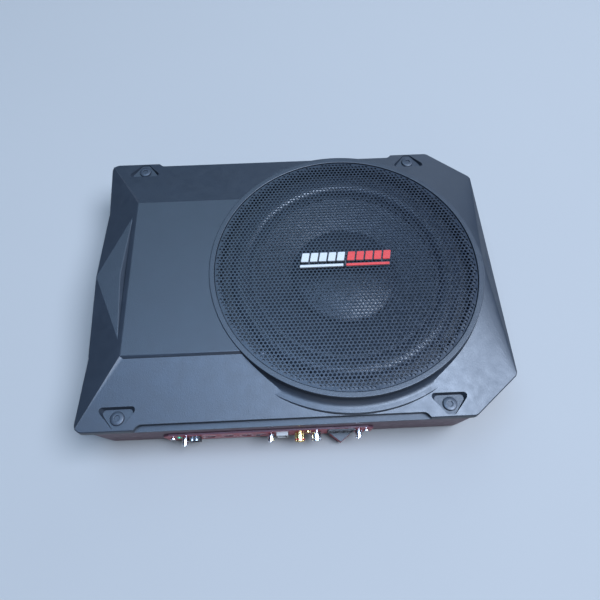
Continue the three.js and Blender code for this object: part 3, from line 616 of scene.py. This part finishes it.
# ---- grille and badge ----
GRILLE_TOP = span_of("grille_mesh", 2)[1]


def perforated_sheet():
    """A round sheet with holes on a triangular lattice, each in its own hexagonal cell."""
    pitch, hole, sides, thickness = 3.3, 1.25, 8, 1.0
    edge, plain_edge = GRILLE_R - 0.4, 0.3
    row_height = pitch * math.sqrt(3) / 2
    bm = bmesh.new()
    known = {}

    def vertex(x, y):
        distance = math.hypot(x, y)
        if distance > edge:
            x, y = x * edge / distance, y * edge / distance
        key = (round(x, 3), round(y, 3))
        if key not in known:
            known[key] = bm.verts.new((RING_X + x, y, GRILLE_TOP))
        return known[key]

    rows = int(edge / row_height) + 2
    for row in range(-rows, rows + 1):
        y = row * pitch * math.sqrt(3) / 2
        for column in range(-rows, rows + 1):
            x = (column + (row % 2) / 2) * pitch
            reach = math.hypot(x, y)
            if reach > edge + pitch * 0.55:
                continue
            rim = [vertex(x + px, y + py) for px, py in circle(0, 0, pitch / math.sqrt(3), 6, 30)]
            rim = list(dict.fromkeys(rim))
            if reach > edge - hole - plain_edge:
                if len(rim) > 2:
                    bm.faces.new(rim)
                continue
            ring = [bm.verts.new((RING_X + x + px, y + py, GRILLE_TOP))
                    for px, py in circle(0, 0, hole, sides, 30)]
            zip_loops(bm, rim, ring)
    sheet = new_object("sheet", bm)
    solidify = sheet.modifiers.new("thickness", "SOLIDIFY")
    solidify.thickness = thickness
    solidify.offset = -1
    mesh = bpy.data.meshes.new_from_object(sheet.evaluated_get(bpy.context.evaluated_depsgraph_get()))
    sheet.modifiers.clear()
    sheet.data = mesh
    return sheet


def zip_loops(bm, outer, inner):
    """Triangles between two loops that start at the same angle and turn the same way."""
    i = j = 0
    n, m = len(outer), len(inner)
    while i < n or j < m:
        a, b = outer[i % n], inner[j % m]
        if j >= m or (i < n and (i + 1) / n <= (j + 1) / m):
            bm.faces.new((a, outer[(i + 1) % n], b))
            i += 1
        else:
            bm.faces.new((a, inner[(j + 1) % m], b))
            j += 1


def flat_map(obj):
    """A plain map from above, in a layer called OFBake, for a piece with thousands of holes."""
    layer = obj.data.uv_layers.new(name="OFBake")
    margin = 1.02
    reach = 2 * GRILLE_R * MM * margin
    for loop in obj.data.loops:
        co = obj.data.vertices[loop.vertex_index].co
        u, v = (co.x - RING_X * MM) / reach + 0.5, (co.y - CASE_Y * MM) / reach + 0.5
        layer.data[loop.index].uv = (u, v)


grille = piece("perforated_grille", perforated_sheet(), MESH_STEEL, ["grille_mesh"])
flat_map(grille)

BADGE_Y = 3.0
BLOCK = {"count": 5, "pitch": 7.6, "width": 6.2, "height": 8.5, "slant": 1.8, "round": 0.6}
UNDERLINE_LOW, UNDERLINE_HIGH, UNDERLINE_SLANT = BADGE_Y - 5.4, BADGE_Y - 3.0, 0.5
BADGE_LOW = span_of("badge_plate", 2)[0]
BAR_LOW, BAR_HIGH = span_of("badge_white_bar", 2)


def slanted(x0, x1, y0, y1, slant, grow=0.0):
    """A leaning block's outline, its top moved right by slant."""
    left, right, radius = x0 - grow, x1 + grow, BLOCK["round"] + grow
    return rounded([(left, y0 - grow, radius), (right, y0 - grow, radius),
                    (right + slant, y1 + grow, radius), (left + slant, y1 + grow, radius)], 4)


def block_places(side):
    """The left edges of the blocks on one side of the badge's middle."""
    first = RING_X - BLOCK["count"] * BLOCK["pitch"] if side < 0 else RING_X + 1.2
    return [first + i * BLOCK["pitch"] for i in range(BLOCK["count"])]


def badge_outlines(side, grow=0.0):
    """The blocks and the line below them, on one side of the badge's middle."""
    places = block_places(side)
    upper = [slanted(x, x + BLOCK["width"], BADGE_Y, BADGE_Y + BLOCK["height"], BLOCK["slant"], grow)
             for x in places]
    first, last = places[0] - 1.2, places[-1] + BLOCK["width"] - 1.0
    return [*upper, slanted(first, last, UNDERLINE_LOW, UNDERLINE_HIGH, UNDERLINE_SLANT, grow)]


def badge_bar(side):
    """One side's blocks and line as a piece, each with a crowned top."""
    crown = [(0.0, BAR_LOW - 0.2), (0.0, BAR_HIGH - 0.15), (-0.06, BAR_HIGH), (-0.2, BAR_HIGH + 0.1)]
    rings = [badge_outlines(side, grow) for grow, _ in crown]
    heights = [z for _, z in crown]
    return joined("bar", [stack(*zip(outlines, heights)) for outlines in zip(*rings)])


def badge_carrier():
    """A rim under every block, held together by thin ribs, with the mesh showing between them."""
    top, rib_top = BAR_LOW - 0.3, BAR_LOW - 0.45
    rims = [prism(outline, BADGE_LOW, top) for side in (-1, 1) for outline in badge_outlines(side, 0.5)]
    reach = BLOCK["count"] * BLOCK["pitch"] - 1
    ribs = [box_outline(RING_X, y, reach, 0.6) for y in (BADGE_Y + 1.8, BADGE_Y + 6.6)]
    ribs += [box_outline(RING_X + x, BADGE_Y - 0.2, 0.6, 4.2) for x in (6 - reach, 0, reach - 6)]
    return joined("carrier", rims + [prism(rounded(rib), BADGE_LOW, rib_top) for rib in ribs])


piece("badge_carrier", badge_carrier(), BLACK_PLASTIC, ["badge_plate"])
piece("badge_white_blocks", badge_bar(-1), WHITE_PLASTIC, ["badge_white_bar"])
piece("badge_red_blocks", badge_bar(1), RED_PLASTIC, ["badge_red_bar"])


# ---- slim driver ----
FLANGE_THICK = 1.6
FLANGE_Z = span_of("driver_basket", 2)[1] - FLANGE_THICK
ROLL_INNER, ROLL_OUTER, ROLL_HEIGHT = 81.0, 98.5, 6.0
SPIDER_INNER, SPIDER_OUTER, SPIDER_Z = 22.0, 56.0, 42.6


def driver_basket():
    """The frame: a flange, a dished wall with six windows and a flat floor on the motor."""
    flange_r, floor_z = 105.5, 33.3
    floor_top = floor_z + FLANGE_THICK
    frame_profile = [
        (flange_r, FLANGE_Z), (flange_r, FLANGE_Z + FLANGE_THICK), (96, FLANGE_Z + FLANGE_THICK),
        (94, FLANGE_Z - 2), (60, 40), (46, floor_top), (24, floor_top), (24, floor_z),
        (46.5, floor_z), (61, 38.4), (94.5, 60.3), (96.2, FLANGE_Z)]
    basket = lathe("basket", frame_profile, RING_X, 0, 96)
    for i in range(6):
        window = prism(rounded(box_outline(75.5, 0, 12.5, 19, 4)), 25, 70)
        turn = Matrix.Rotation(math.radians(60 * i + 30), 4, "Z")
        window.data.transform(Matrix.Translation((RING_X, 0, 0)) @ turn)
        boolean(basket, window)
    return basket


def surround():
    """The half roll between the cone and the flange."""
    steps, thick, inner_edge, outer_edge = 18, 1.2, 78, 99.5
    base = FLANGE_Z + 1.9
    top = base + thick
    middle, reach = (ROLL_INNER + ROLL_OUTER) / 2, (ROLL_OUTER - ROLL_INNER) / 2
    angles = [math.pi * i / steps for i in range(steps + 1)]
    upper = [(middle + reach * math.cos(a), top + ROLL_HEIGHT * math.sin(a)) for a in angles]
    lower = [(middle - (reach - thick) * math.cos(a), base + ROLL_HEIGHT * math.sin(a)) for a in angles]
    profile = [(outer_edge, base), (outer_edge, top), *upper, (inner_edge, top), (inner_edge, base), *lower]
    return lathe("surround", profile, RING_X, 0, ROUND)


def spider():
    """The corrugated cloth disc round the voice coil."""
    steps, height, half_waves, coil_r, edge_r = 72, 1.4, 7, 20.1, 58
    high, low = SPIDER_Z + 0.3, SPIDER_Z - 0.3
    span = SPIDER_OUTER - SPIDER_INNER
    radii = [SPIDER_INNER + span * i / steps for i in range(steps + 1)]
    wave = [height * math.sin((r - SPIDER_INNER) / span * half_waves * math.pi) for r in radii]
    top = [(r, high + w) for r, w in zip(radii, wave)]
    bottom = [(r, low + w) for r, w in zip(radii, wave)][::-1]
    profile = [(coil_r, high), *top, (edge_r, high), (edge_r, low), *bottom, (coil_r, low)]
    return lathe("spider", profile, RING_X, 0, 72)


def blend_radially(obj):
    """Takes a ring off its body and bakes its place into its points."""
    obj.parent = None
    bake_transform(obj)


piece("basket_frame", driver_basket(), BLACK_STEEL, ["driver_basket"])
roll = piece("surround_roll", surround(), SURROUND_RUBBER, ["surround"], sharp=50)
blend_radially(roll)
cloth = piece("spider_cloth", spider(), CLOTH, ["spider"], sharp=60)
blend_radially(cloth)

# Radius and height of each corner: the cone from its neck outwards, the cap from its edge inwards.
CONE_PROFILE = [(20.2, 50), (60, 59.9), (77.5, 64.4), (80.5, 64.4), (80.5, 63.2), (78, 63.2),
                (60, 58.6), (20.2, 48.6)]
CAP_PROFILE = [(46, 57.1), (46, 58.3), (44.8, 59.3), (42, 60.4), (36, 62.2), (30, 63.7), (22, 65.0),
               (14, 65.6), (6, 65.9), (0, 66), (0, 65), (14, 64.6), (30, 62.7), (42, 59.3), (44.6, 57.1)]
piece("cone_body", lathe("cone", CONE_PROFILE, RING_X, 0), PULP, ["cone"], "moving_cone")
piece("dust_cap_dome", lathe("cap", CAP_PROFILE, RING_X, 0), PULP, ["dust_cap"], "moving_cone")
paint("voice_coil", COPPER)
for node in ("top_plate", "pole_yoke"):
    paint(node, ZINC)
paint("magnet", FERRITE)


def flange_screw(node):
    radius, cross_long, cross_wide, cross_deep = 2.7, 1.6, 0.35, 0.8
    middle = middle_of(node) - Vector((0, CASE_Y, 0))
    low, high = span_of(node, 2)
    profile = [(0, low), (radius, low), *arc(radius - 1, low + 0.9, 1.0, 0, 80, 4), (0, high)]
    head = lathe("head", profile, middle.x, middle.y, 32)
    for half_x, half_y in ((cross_long, cross_wide), (cross_wide, cross_long)):
        slot = rounded(box_outline(middle.x, middle.y, half_x, half_y))
        boolean(head, prism(slot, high - cross_deep, high + 1))
    return head


for number in range(1, 5):
    piece(f"flange_screw_{number}", flange_screw(f"driver_screw_{number}"), BLACK_ZINC,
          [f"driver_screw_{number}"])

# ---- amplifier ----
for node, material in (("amplifier_board", BOARD), ("amplifier_heat_sink", ZINC),
                       ("toroid_transformer", COPPER), ("filter_capacitor_1", BLACK_PLASTIC),
                       ("filter_capacitor_2", BLACK_PLASTIC)):
    paint(node, material)


# ---- control panel ----
# Drawn in the panel's frame: x right, y into the case, z up the wall.
KNOBS = (("gain", -74.6), ("crossover", -59.7), ("bass_boost", -44.9))
KNOB_R, KNOB_Z = 3.6, -3.0
STUDS = (("left", -94.3), ("centre", -24.5), ("right", 47.2))
STUD_R, STUD_Z, STUD_REACH = 2.8, 4.0, 6.5
TRIM_SCREWS = (("left", -105.0), ("right", 54.0))
SWITCH_X, SWITCH_Z = -33.2, -3.0
JACKS = (("red", -1.1), ("white", 12.4))
JACK_R, JACK_Z, JACK_REACH = 4.1, 2.0, 7.5
# Sockets and terminal, each as x, z, half its width and half its height.
INPUT, TERMINAL, PORT = (-15.2, 2.0, 4.8, 8.0), (33.0, 3.5, 11.0, 8.5), (-86.4, 1.0, 4.0, 6.0)
TERMINAL_X, TERMINAL_Z = TERMINAL[:2]
CLAMPS = [TERMINAL_X + 7 * i for i in (-1, 0, 1)]
LAMP_X, LAMP_Z, LAMP_R = -99.2, 5.0, 1.5


def on_wall(outline, y0, y1):
    """A prism whose outline is drawn in x and z, from y0 outside to y1 inside."""
    obj = prism([(x, -z) for x, z in outline], y0, y1)
    obj.data.transform(UPRIGHT)
    return obj


def wall_box(x, z, half_x, half_z, y0, y1, radius=0.0):
    return on_wall(rounded(box_outline(x, z, half_x, half_z, radius), 4), y0, y1)


def wall_rod(x, z, y0, y1, radius):
    return on_wall(circle(x, z, radius, 32), y0, y1)


def wall_lathe(profile, x, z, sides=48):
    """Turns (radius, y) about the line through (x, z) that points into the case."""
    obj = lathe("turned", profile, sides=sides)
    obj.data.transform(Matrix.Translation((x, 0, z)) @ UPRIGHT)
    return obj


def panel_piece(name, obj, material, replaces=(), body="enclosure"):
    return piece(name, obj, material, replaces, body, ON_PANEL)


def near_face(y):
    """Picks the edges of a piece that lie at y or outside it."""
    return lambda e: all(v.co.y < y + 0.01 for v in e.verts)


def control_panel():
    """The plate, with a hole a little larger than each part that comes through it."""
    half, cut, gap, through = PANEL_HALF, 5.0, 0.3, (-9, 9)
    corners = [(PANEL_LEFT, -half, 1), (PANEL_RIGHT, -half, 1), (PANEL_RIGHT, half - cut, 1),
               (PANEL_RIGHT - cut, half, 1), (PANEL_LEFT + cut, half, 1), (PANEL_LEFT, half - cut, 1)]
    plate = on_wall(rounded(corners, 4), FACE_Y, -0.3)
    rods = [(x, KNOB_Z, KNOB_R + 2 * gap) for _, x in KNOBS]
    rods += [(x, STUD_Z, 1.9) for _, x in STUDS]
    rods += [(x, 0, 1.3) for _, x in TRIM_SCREWS]
    rods += [(x, JACK_Z, JACK_R + gap) for _, x in JACKS]
    rods += [(LAMP_X, LAMP_Z, LAMP_R + gap)]
    boxes = [(SWITCH_X, SWITCH_Z, 4, 1.8, 0.4)]
    boxes += [(x, z, half_x + gap, half_z + gap, 0.6) for x, z, half_x, half_z in (INPUT, TERMINAL, PORT)]
    for x, z, radius in rods:
        boolean(plate, wall_rod(x, z, *through, radius))
    for x, z, half_x, half_z, radius in boxes:
        boolean(plate, wall_box(x, z, half_x, half_z, *through, radius))
    tidy_faces(plate)
    return bevel(plate, 0.2, 2, 50, near_face(FACE_Y))


plate = panel_piece("printed_panel", control_panel(), PANEL, ["control_panel"])
# The face keeps the maroon print. The edges take the dark chassis colour, which paints shade on the plate's
# top edge, an edge that would otherwise catch the light.
colour_by_facing(plate, CHASSIS, lambda normal: normal.y < -0.8)


# Lines printed on the panel, each as x, z of both ends and its width: the switch's bars, the divider
# left of the dials, the dashes below the port and the lamp, and the frame round the jacks.
PRINTED_LINES = [
    (SWITCH_X - 4, 1.2, SWITCH_X + 4, 1.2, 0.5), (SWITCH_X - 4, -6.6, SWITCH_X + 4, -6.6, 0.5),
    (-80.8, 7.0, -80.8, -12.0, 0.4), (-80.8, 7.0, -77.2, 11.5, 0.4),
    (-96.6, -6.0, -92.0, -6.0, 0.5), (-101.4, 0.0, -97.0, 0.0, 0.5),
    (-9.0, -9.4, 18.5, -9.4, 0.4), (-9.0, -9.4, -9.0, -7.0, 0.4), (18.5, -9.4, 18.5, -7.0, 0.4),
    (-20.5, 12.4, -9.9, 12.4, 0.6),
]


def printed_marks():
    """White silk-screened lines: dial scales, plain frames and a slanted divider."""
    y0, y1 = FACE_Y - 0.06, FACE_Y + 0.02
    tick_inner, tick_outer, long_tick_outer = 5.0, 6.0, 6.6
    marks = []

    def line(x0, z0, x1, z1, width):
        along = Vector((x1 - x0, z1 - z0)).normalized() * width / 2
        across = Vector((-along.y, along.x))
        start, end = Vector((x0, z0)), Vector((x1, z1))
        corners = [start - along - across, end + along - across, end + along + across, start - along + across]
        marks.append(on_wall([tuple(c) for c in corners], y0, y1))

    for _, x in KNOBS:
        for tick in range(11):
            angle = math.radians(230 - 28 * tick)
            outer = long_tick_outer if tick % 5 == 0 else tick_outer
            line(x + tick_inner * math.cos(angle), KNOB_Z + tick_inner * math.sin(angle),
                 x + outer * math.cos(angle), KNOB_Z + outer * math.sin(angle), 0.35)
        line(x - 4.5, 6.6, x + 4.5, 6.6, 0.9)
        line(x + 5.2, -9.5, x + 7.6, -9.5, 0.5)
        line(x - 6.4, -9.5, x - 4.4, -9.5, 0.5)
        line(x + 6.4, -10.6, x + 6.4, -8.4, 0.5)
    for ends_and_width in PRINTED_LINES:
        line(*ends_and_width)
    for x in CLAMPS:
        line(x - 1.6, 13.4, x + 1.6, 13.4, 0.5)
    line(CLAMPS[0], 12.0, CLAMPS[0], 14.4, 0.5)
    return joined("marks", marks)


panel_piece("panel_marks", printed_marks(), PRINT)


def stud(x):
    """A standing stud with a groove round it and a dimple in its tip."""
    face = FACE_Y - 0.3
    tip = face - STUD_REACH
    profile = [(0, tip + 0.8), (1.4, tip + 0.8), (1.5, tip), *arc(STUD_R - 0.6, tip + 0.6, 0.6, -90, 0, 4),
               (STUD_R, face - 4.2), (STUD_R - 0.35, face - 3.9), (STUD_R - 0.35, face - 3.5),
               (STUD_R, face - 3.2), (STUD_R, face - 0.3), (STUD_R - 0.2, face), (1.5, face), (1.5, 5),
               (0, 5)]
    return wall_lathe(profile, x, STUD_Z)


for side, x in STUDS:
    panel_piece(f"chrome_stud_{side}", stud(x), CHROME, [f"panel_stud_{side}"])


def pan_head(x, z):
    """A small cross-head screw."""
    face = FACE_Y - 0.3
    profile = [(0, face - 1.4), (1.3, face - 1.35), *arc(1.6, face - 0.75, 0.6, -90, 0, 4), (2.2, face),
               (1.0, face), (1.0, -0.2), (0, -0.2)]
    screw = wall_lathe(profile, x, z, 32)
    for half_x, half_z in ((1.3, 0.28), (0.28, 1.3)):
        boolean(screw, wall_box(x, z, half_x, half_z, face - 3, face - 0.8))
    return screw


for side, x in TRIM_SCREWS:
    panel_piece(f"trim_screw_{side}", pan_head(x, 0), CHROME, [f"panel_screw_{side}"])

lamp_profile = [(0, FACE_Y - 1.2), (0.7, FACE_Y - 1.1), (1.2, FACE_Y - 0.75), (1.45, FACE_Y - 0.3),
                (LAMP_R, FACE_Y), (LAMP_R, 6), (0, 6)]
panel_piece("lamp_lens", wall_lathe(lamp_profile, LAMP_X, LAMP_Z, 32), LENS, ["power_lamp"])


def socket_block(x, z, half_x, half_z, reach, mouth_x, mouth_z, depth):
    """A rectangular socket with a chamfered mouth."""
    front = FACE_Y - reach
    block = wall_box(x, z, half_x, half_z, front, 8, 0.6)
    boolean(block, wall_box(x, z, mouth_x, mouth_z, front - 2, depth, 0.4))
    tidy_faces(block)
    return bevel(block, 0.25, 2, 50, near_face(front))


def row_of_pins(x, zs, y0, y1, half=0.32):
    return joined("pins", [wall_box(px, z, half, half, y0, y1, 0.12) for px in x for z in zs])


port_x, port_z, _, port_half_tall = PORT
panel_piece("remote_socket", socket_block(*PORT, 3.5, 2.6, 4.4, 4), BLACK_PLASTIC,
            ["remote_port"])
panel_piece("remote_socket_contacts", row_of_pins([port_x - 1.2, port_x + 1.2], [-1.6, 0.4, 2.4], -2.6, 4.5),
            GOLD)
stripes = [wall_box(port_x + x, port_z + port_half_tall + 0.1, 0.55, 0.12, FACE_Y - 3.4, FACE_Y - 0.1, 0.1)
           for x in (-1.7, 1.7)]
panel_piece("remote_socket_springs", joined("springs", stripes), CHROME)

panel_piece("speaker_level_socket", socket_block(*INPUT, 3, 3.5, 6.6, 5), WHITE_PLASTIC,
            ["speaker_level_input"])
input_pins = row_of_pins([INPUT[0] + side * 1.6 for side in (-1, 1)],
                         [INPUT[1] + 3 * i for i in (-1.5, -0.5, 0.5, 1.5)], -3.2, 5.5, 0.4)
panel_piece("speaker_level_pins", input_pins, GOLD)


def knob(x):
    """A fluted knob, sunk just below the panel's face, with a slot for its pointer."""
    flutes, steps, depth = 20, 160, 0.1
    front = FACE_Y + 0.5
    outline = []
    for a in [2 * math.pi * i / steps for i in range(steps)]:
        radius = KNOB_R - depth + depth * math.cos(flutes * a)
        outline.append((radius * math.cos(a) + x, radius * math.sin(a) + KNOB_Z))
    body = on_wall(outline, front, 4.6)
    boolean(body, wall_box(x, KNOB_Z + 2.0, 0.45, 2.2, front - 1, front + 0.5, 0.2))
    return bevel(body, 0.3, 3, 50, lambda e: all(v.co.y < front + 0.01 for v in e.verts)
                 and all(math.hypot(v.co.x - x, v.co.z - KNOB_Z) > KNOB_R - 0.3 for v in e.verts))


for name, x in KNOBS:
    panel_piece(f"{name}_control", knob(x), BLACK_PLASTIC, [f"{name}_knob"],
                f"{name}_knob")
    pointer = wall_box(x, KNOB_Z + 1.75, 0.42, 1.75, FACE_Y + 0.42, FACE_Y + 0.95, 0.15)
    panel_piece(f"{name}_pointer", pointer, PRINT, body=f"{name}_knob")
    paint(f"{name}_pot", BLACK_PLASTIC)

paint("phase_switch_body", BLACK_PLASTIC)


def phase_slider():
    low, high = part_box("phase_slider")
    x = (low.x + high.x) / 2 / MM
    front, back = FACE_Y - 0.9, 3.7
    slider = wall_box(x, SWITCH_Z, 1.6, 1.2, front, back, 0.2)
    for i in (-1, 0, 1):
        boolean(slider, wall_box(x + i, SWITCH_Z, 0.2, 2, front - 1, front + 0.35))
    return bevel(slider, 0.1, 2, 50, lambda e: all(v.co.y < front + 0.4 for v in e.verts))


panel_piece("phase_slider_cap", phase_slider(), BLACK_PLASTIC, ["phase_slider"],
            "phase_slider")


def rca_shell(x):
    tip = FACE_Y - JACK_REACH
    inner = JACK_R - 0.7
    profile = [(0, 8), (JACK_R, 8), (JACK_R, FACE_Y - 1.2), (JACK_R - 0.25, FACE_Y - 1.4),
               (JACK_R - 0.25, FACE_Y - 1.8), (JACK_R, FACE_Y - 2.0), (JACK_R, tip + 0.35),
               (JACK_R - 0.2, tip), (inner + 0.15, tip), (inner, tip + 0.2), (inner, 6), (0, 6)]
    return wall_lathe(profile, x, JACK_Z, 64)


def rca_insulator(x):
    tip, radius, bore = FACE_Y - JACK_REACH + 0.6, JACK_R - 1, 1.6
    profile = [(0, 5.6), (radius, 5.6), (radius, tip + 0.2), (radius - 0.2, tip), (bore + 0.25, tip),
               (bore, tip + 0.25), (bore, 3), (0, 3)]
    return wall_lathe(profile, x, JACK_Z, 48)


JACK_FINISHES = ((GOLD, "gold", RED_PLASTIC), (CHROME, "chrome", WHITE_PLASTIC))
for (color, x), (shell, shell_slot, plastic) in zip(JACKS, JACK_FINISHES):
    panel_piece(f"phono_shell_{color}", rca_shell(x), shell, [f"rca_shell_{color}"])
    panel_piece(f"phono_insulator_{color}", rca_insulator(x), plastic,
                [f"rca_insulator_{color}"])
    band_y = FACE_Y - JACK_REACH + 1.6
    band = [(JACK_R + 0.02, band_y - 0.5), (JACK_R + 0.25, band_y - 0.4), (JACK_R + 0.25, band_y + 0.4),
            (JACK_R + 0.02, band_y + 0.5)]
    panel_piece(f"phono_band_{color}", wall_lathe(band, x, JACK_Z, 64), plastic)
panel_piece("ground_screw", pan_head(5.6, 9.0), GOLD, ["jack_ground_screw"])


def power_terminal():
    """A block with a wire opening and a screw well for each of its three clamps."""
    front = FACE_Y - 1.2
    block = wall_box(*TERMINAL, front, 9, 0.5)
    for x in CLAMPS:
        boolean(block, wall_box(x, TERMINAL_Z - 4.4, 2.5, 2.9, front - 1, 6, 0.4))
        boolean(block, wall_rod(x, TERMINAL_Z + 3, front - 1, 4, 2.7))
    tidy_faces(block)
    return bevel(block, 0.2, 2, 50, near_face(front))


def clamp_screw(x):
    front, z = FACE_Y - 0.9, TERMINAL_Z + 3
    profile = [(0, front), (1.9, front), (2.3, front + 0.3), (2.4, front + 0.6), (2.4, 3.7), (0, 3.7)]
    screw = wall_lathe(profile, x, z, 40)
    return boolean(screw, wall_box(x, z, 3, 0.4, front - 1, front + 0.8))


panel_piece("terminal_block", power_terminal(), BLACK_PLASTIC, ["power_terminal"])
for number, x in enumerate(CLAMPS, 1):
    panel_piece(f"clamp_screw_{number}", clamp_screw(x), ZINC, [f"terminal_screw_{number}"])
    plates = wall_box(x, TERMINAL_Z - 4.4, 2.0, 0.3, 0, 5.8, 0.1)
    panel_piece(f"clamp_plate_{number}", plates, ZINC)


def terminal_shelf():
    reach, half, low, high = 8.2, 10.2, -15.0, -5.6
    back = FACE_Y - 0.3
    outline = rounded([(TERMINAL_X - half, back, 0.8), (TERMINAL_X, back - reach, 1.2),
                       (TERMINAL_X + half, back, 0.8)], 6)
    return bevel(prism(outline, low, high), 0.3, 3, 50)


shelf = panel_piece("cable_shelf", terminal_shelf(), CASTING, ["terminal_shelf"])
# One cast part coloured by facing: the top keeps the housing's grey, and the sides take the maroon panel
# paint as a painted red reflection on the faces that look forwards and down.
colour_by_facing(shelf, PANEL, lambda normal: normal.z > 0.5)


# ---- stage, light and camera ----
def stage():
    bm = bmesh.new()
    bmesh.ops.create_grid(bm, x_segments=1, y_segments=1, size=6)
    floor = new_object("studio_floor", bm)
    floor.data.materials.append(
        node_material("pale_floor", (0.226, 0.215, 0.20), 0.9, tint=0.01, tint_scale=2, specular=0.1))


def area_light(name, place, target, size, power, color=(1, 1, 1)):
    data = bpy.data.lights.new(name, "AREA")
    data.shape = "DISK"
    data.size = size
    data.energy = power
    data.color = color
    lamp = bpy.data.objects.new(name, data)
    lamp.location = place
    lamp.rotation_euler = (Vector(place) - Vector(target)).to_track_quat("Z", "Y").to_euler()
    bpy.context.scene.collection.objects.link(lamp)


def camera():
    azimuth, elevation, roll = math.radians(-1.67), math.radians(60.33), math.radians(-0.91)
    backward = Vector((math.cos(elevation) * math.sin(azimuth),
                       -math.cos(elevation) * math.cos(azimuth), math.sin(elevation)))
    right = Vector((math.cos(azimuth), math.sin(azimuth), 0))
    up = backward.cross(right)
    turned_right = math.cos(roll) * right + math.sin(roll) * up
    turned_up = -math.sin(roll) * right + math.cos(roll) * up
    data = bpy.data.cameras.new("camera")
    data.sensor_width = 36
    data.lens = 34.03
    data.shift_x, data.shift_y = 0.0015, -0.047
    data.clip_start = 0.01
    view = bpy.data.objects.new("camera", data)
    view.matrix_world = Matrix((
        (turned_right.x, turned_up.x, backward.x, -0.00277),
        (turned_right.y, turned_up.y, backward.y, -0.24247 + CASE_Y * MM),
        (turned_right.z, turned_up.z, backward.z, 0.49213),
        (0, 0, 0, 1),
    ))
    bpy.context.scene.collection.objects.link(view)
    bpy.context.scene.camera = view


stage()
camera()
area_light("key_right", (1.40, -0.44, 3.15), (0.05, 0, 0.05), 2.0, 370, (0.62, 0.76, 1.0))
area_light("soft_overhead", (-0.35, 0.9, 1.75), (0, 0, 0.05), 1.35, 10, (0.5, 0.78, 1.0))
area_light("zenith", (-0.3, 0.0, 2.3), (0, 0, 0.05), 1.4, 45, (0.38, 0.60, 1.0))
area_light("low_rear", (0.75, 1.85, 1.05), (0, 0, 0.05), 1.35, 8.5, (0.66, 0.80, 1.0))
area_light("low_front", (0.0, -2.0, 0.7), (0, 0, 0.05), 1.2, 4, (1.0, 0.95, 0.95))
world = bpy.data.worlds.new("studio")
world.use_nodes = True
set_inputs(world.node_tree.nodes["Background"], {"Color": (0.62, 0.74, 0.92, 1), "Strength": 0.08})
bpy.context.scene.world = world
bpy.context.scene.view_settings.view_transform = "Standard"
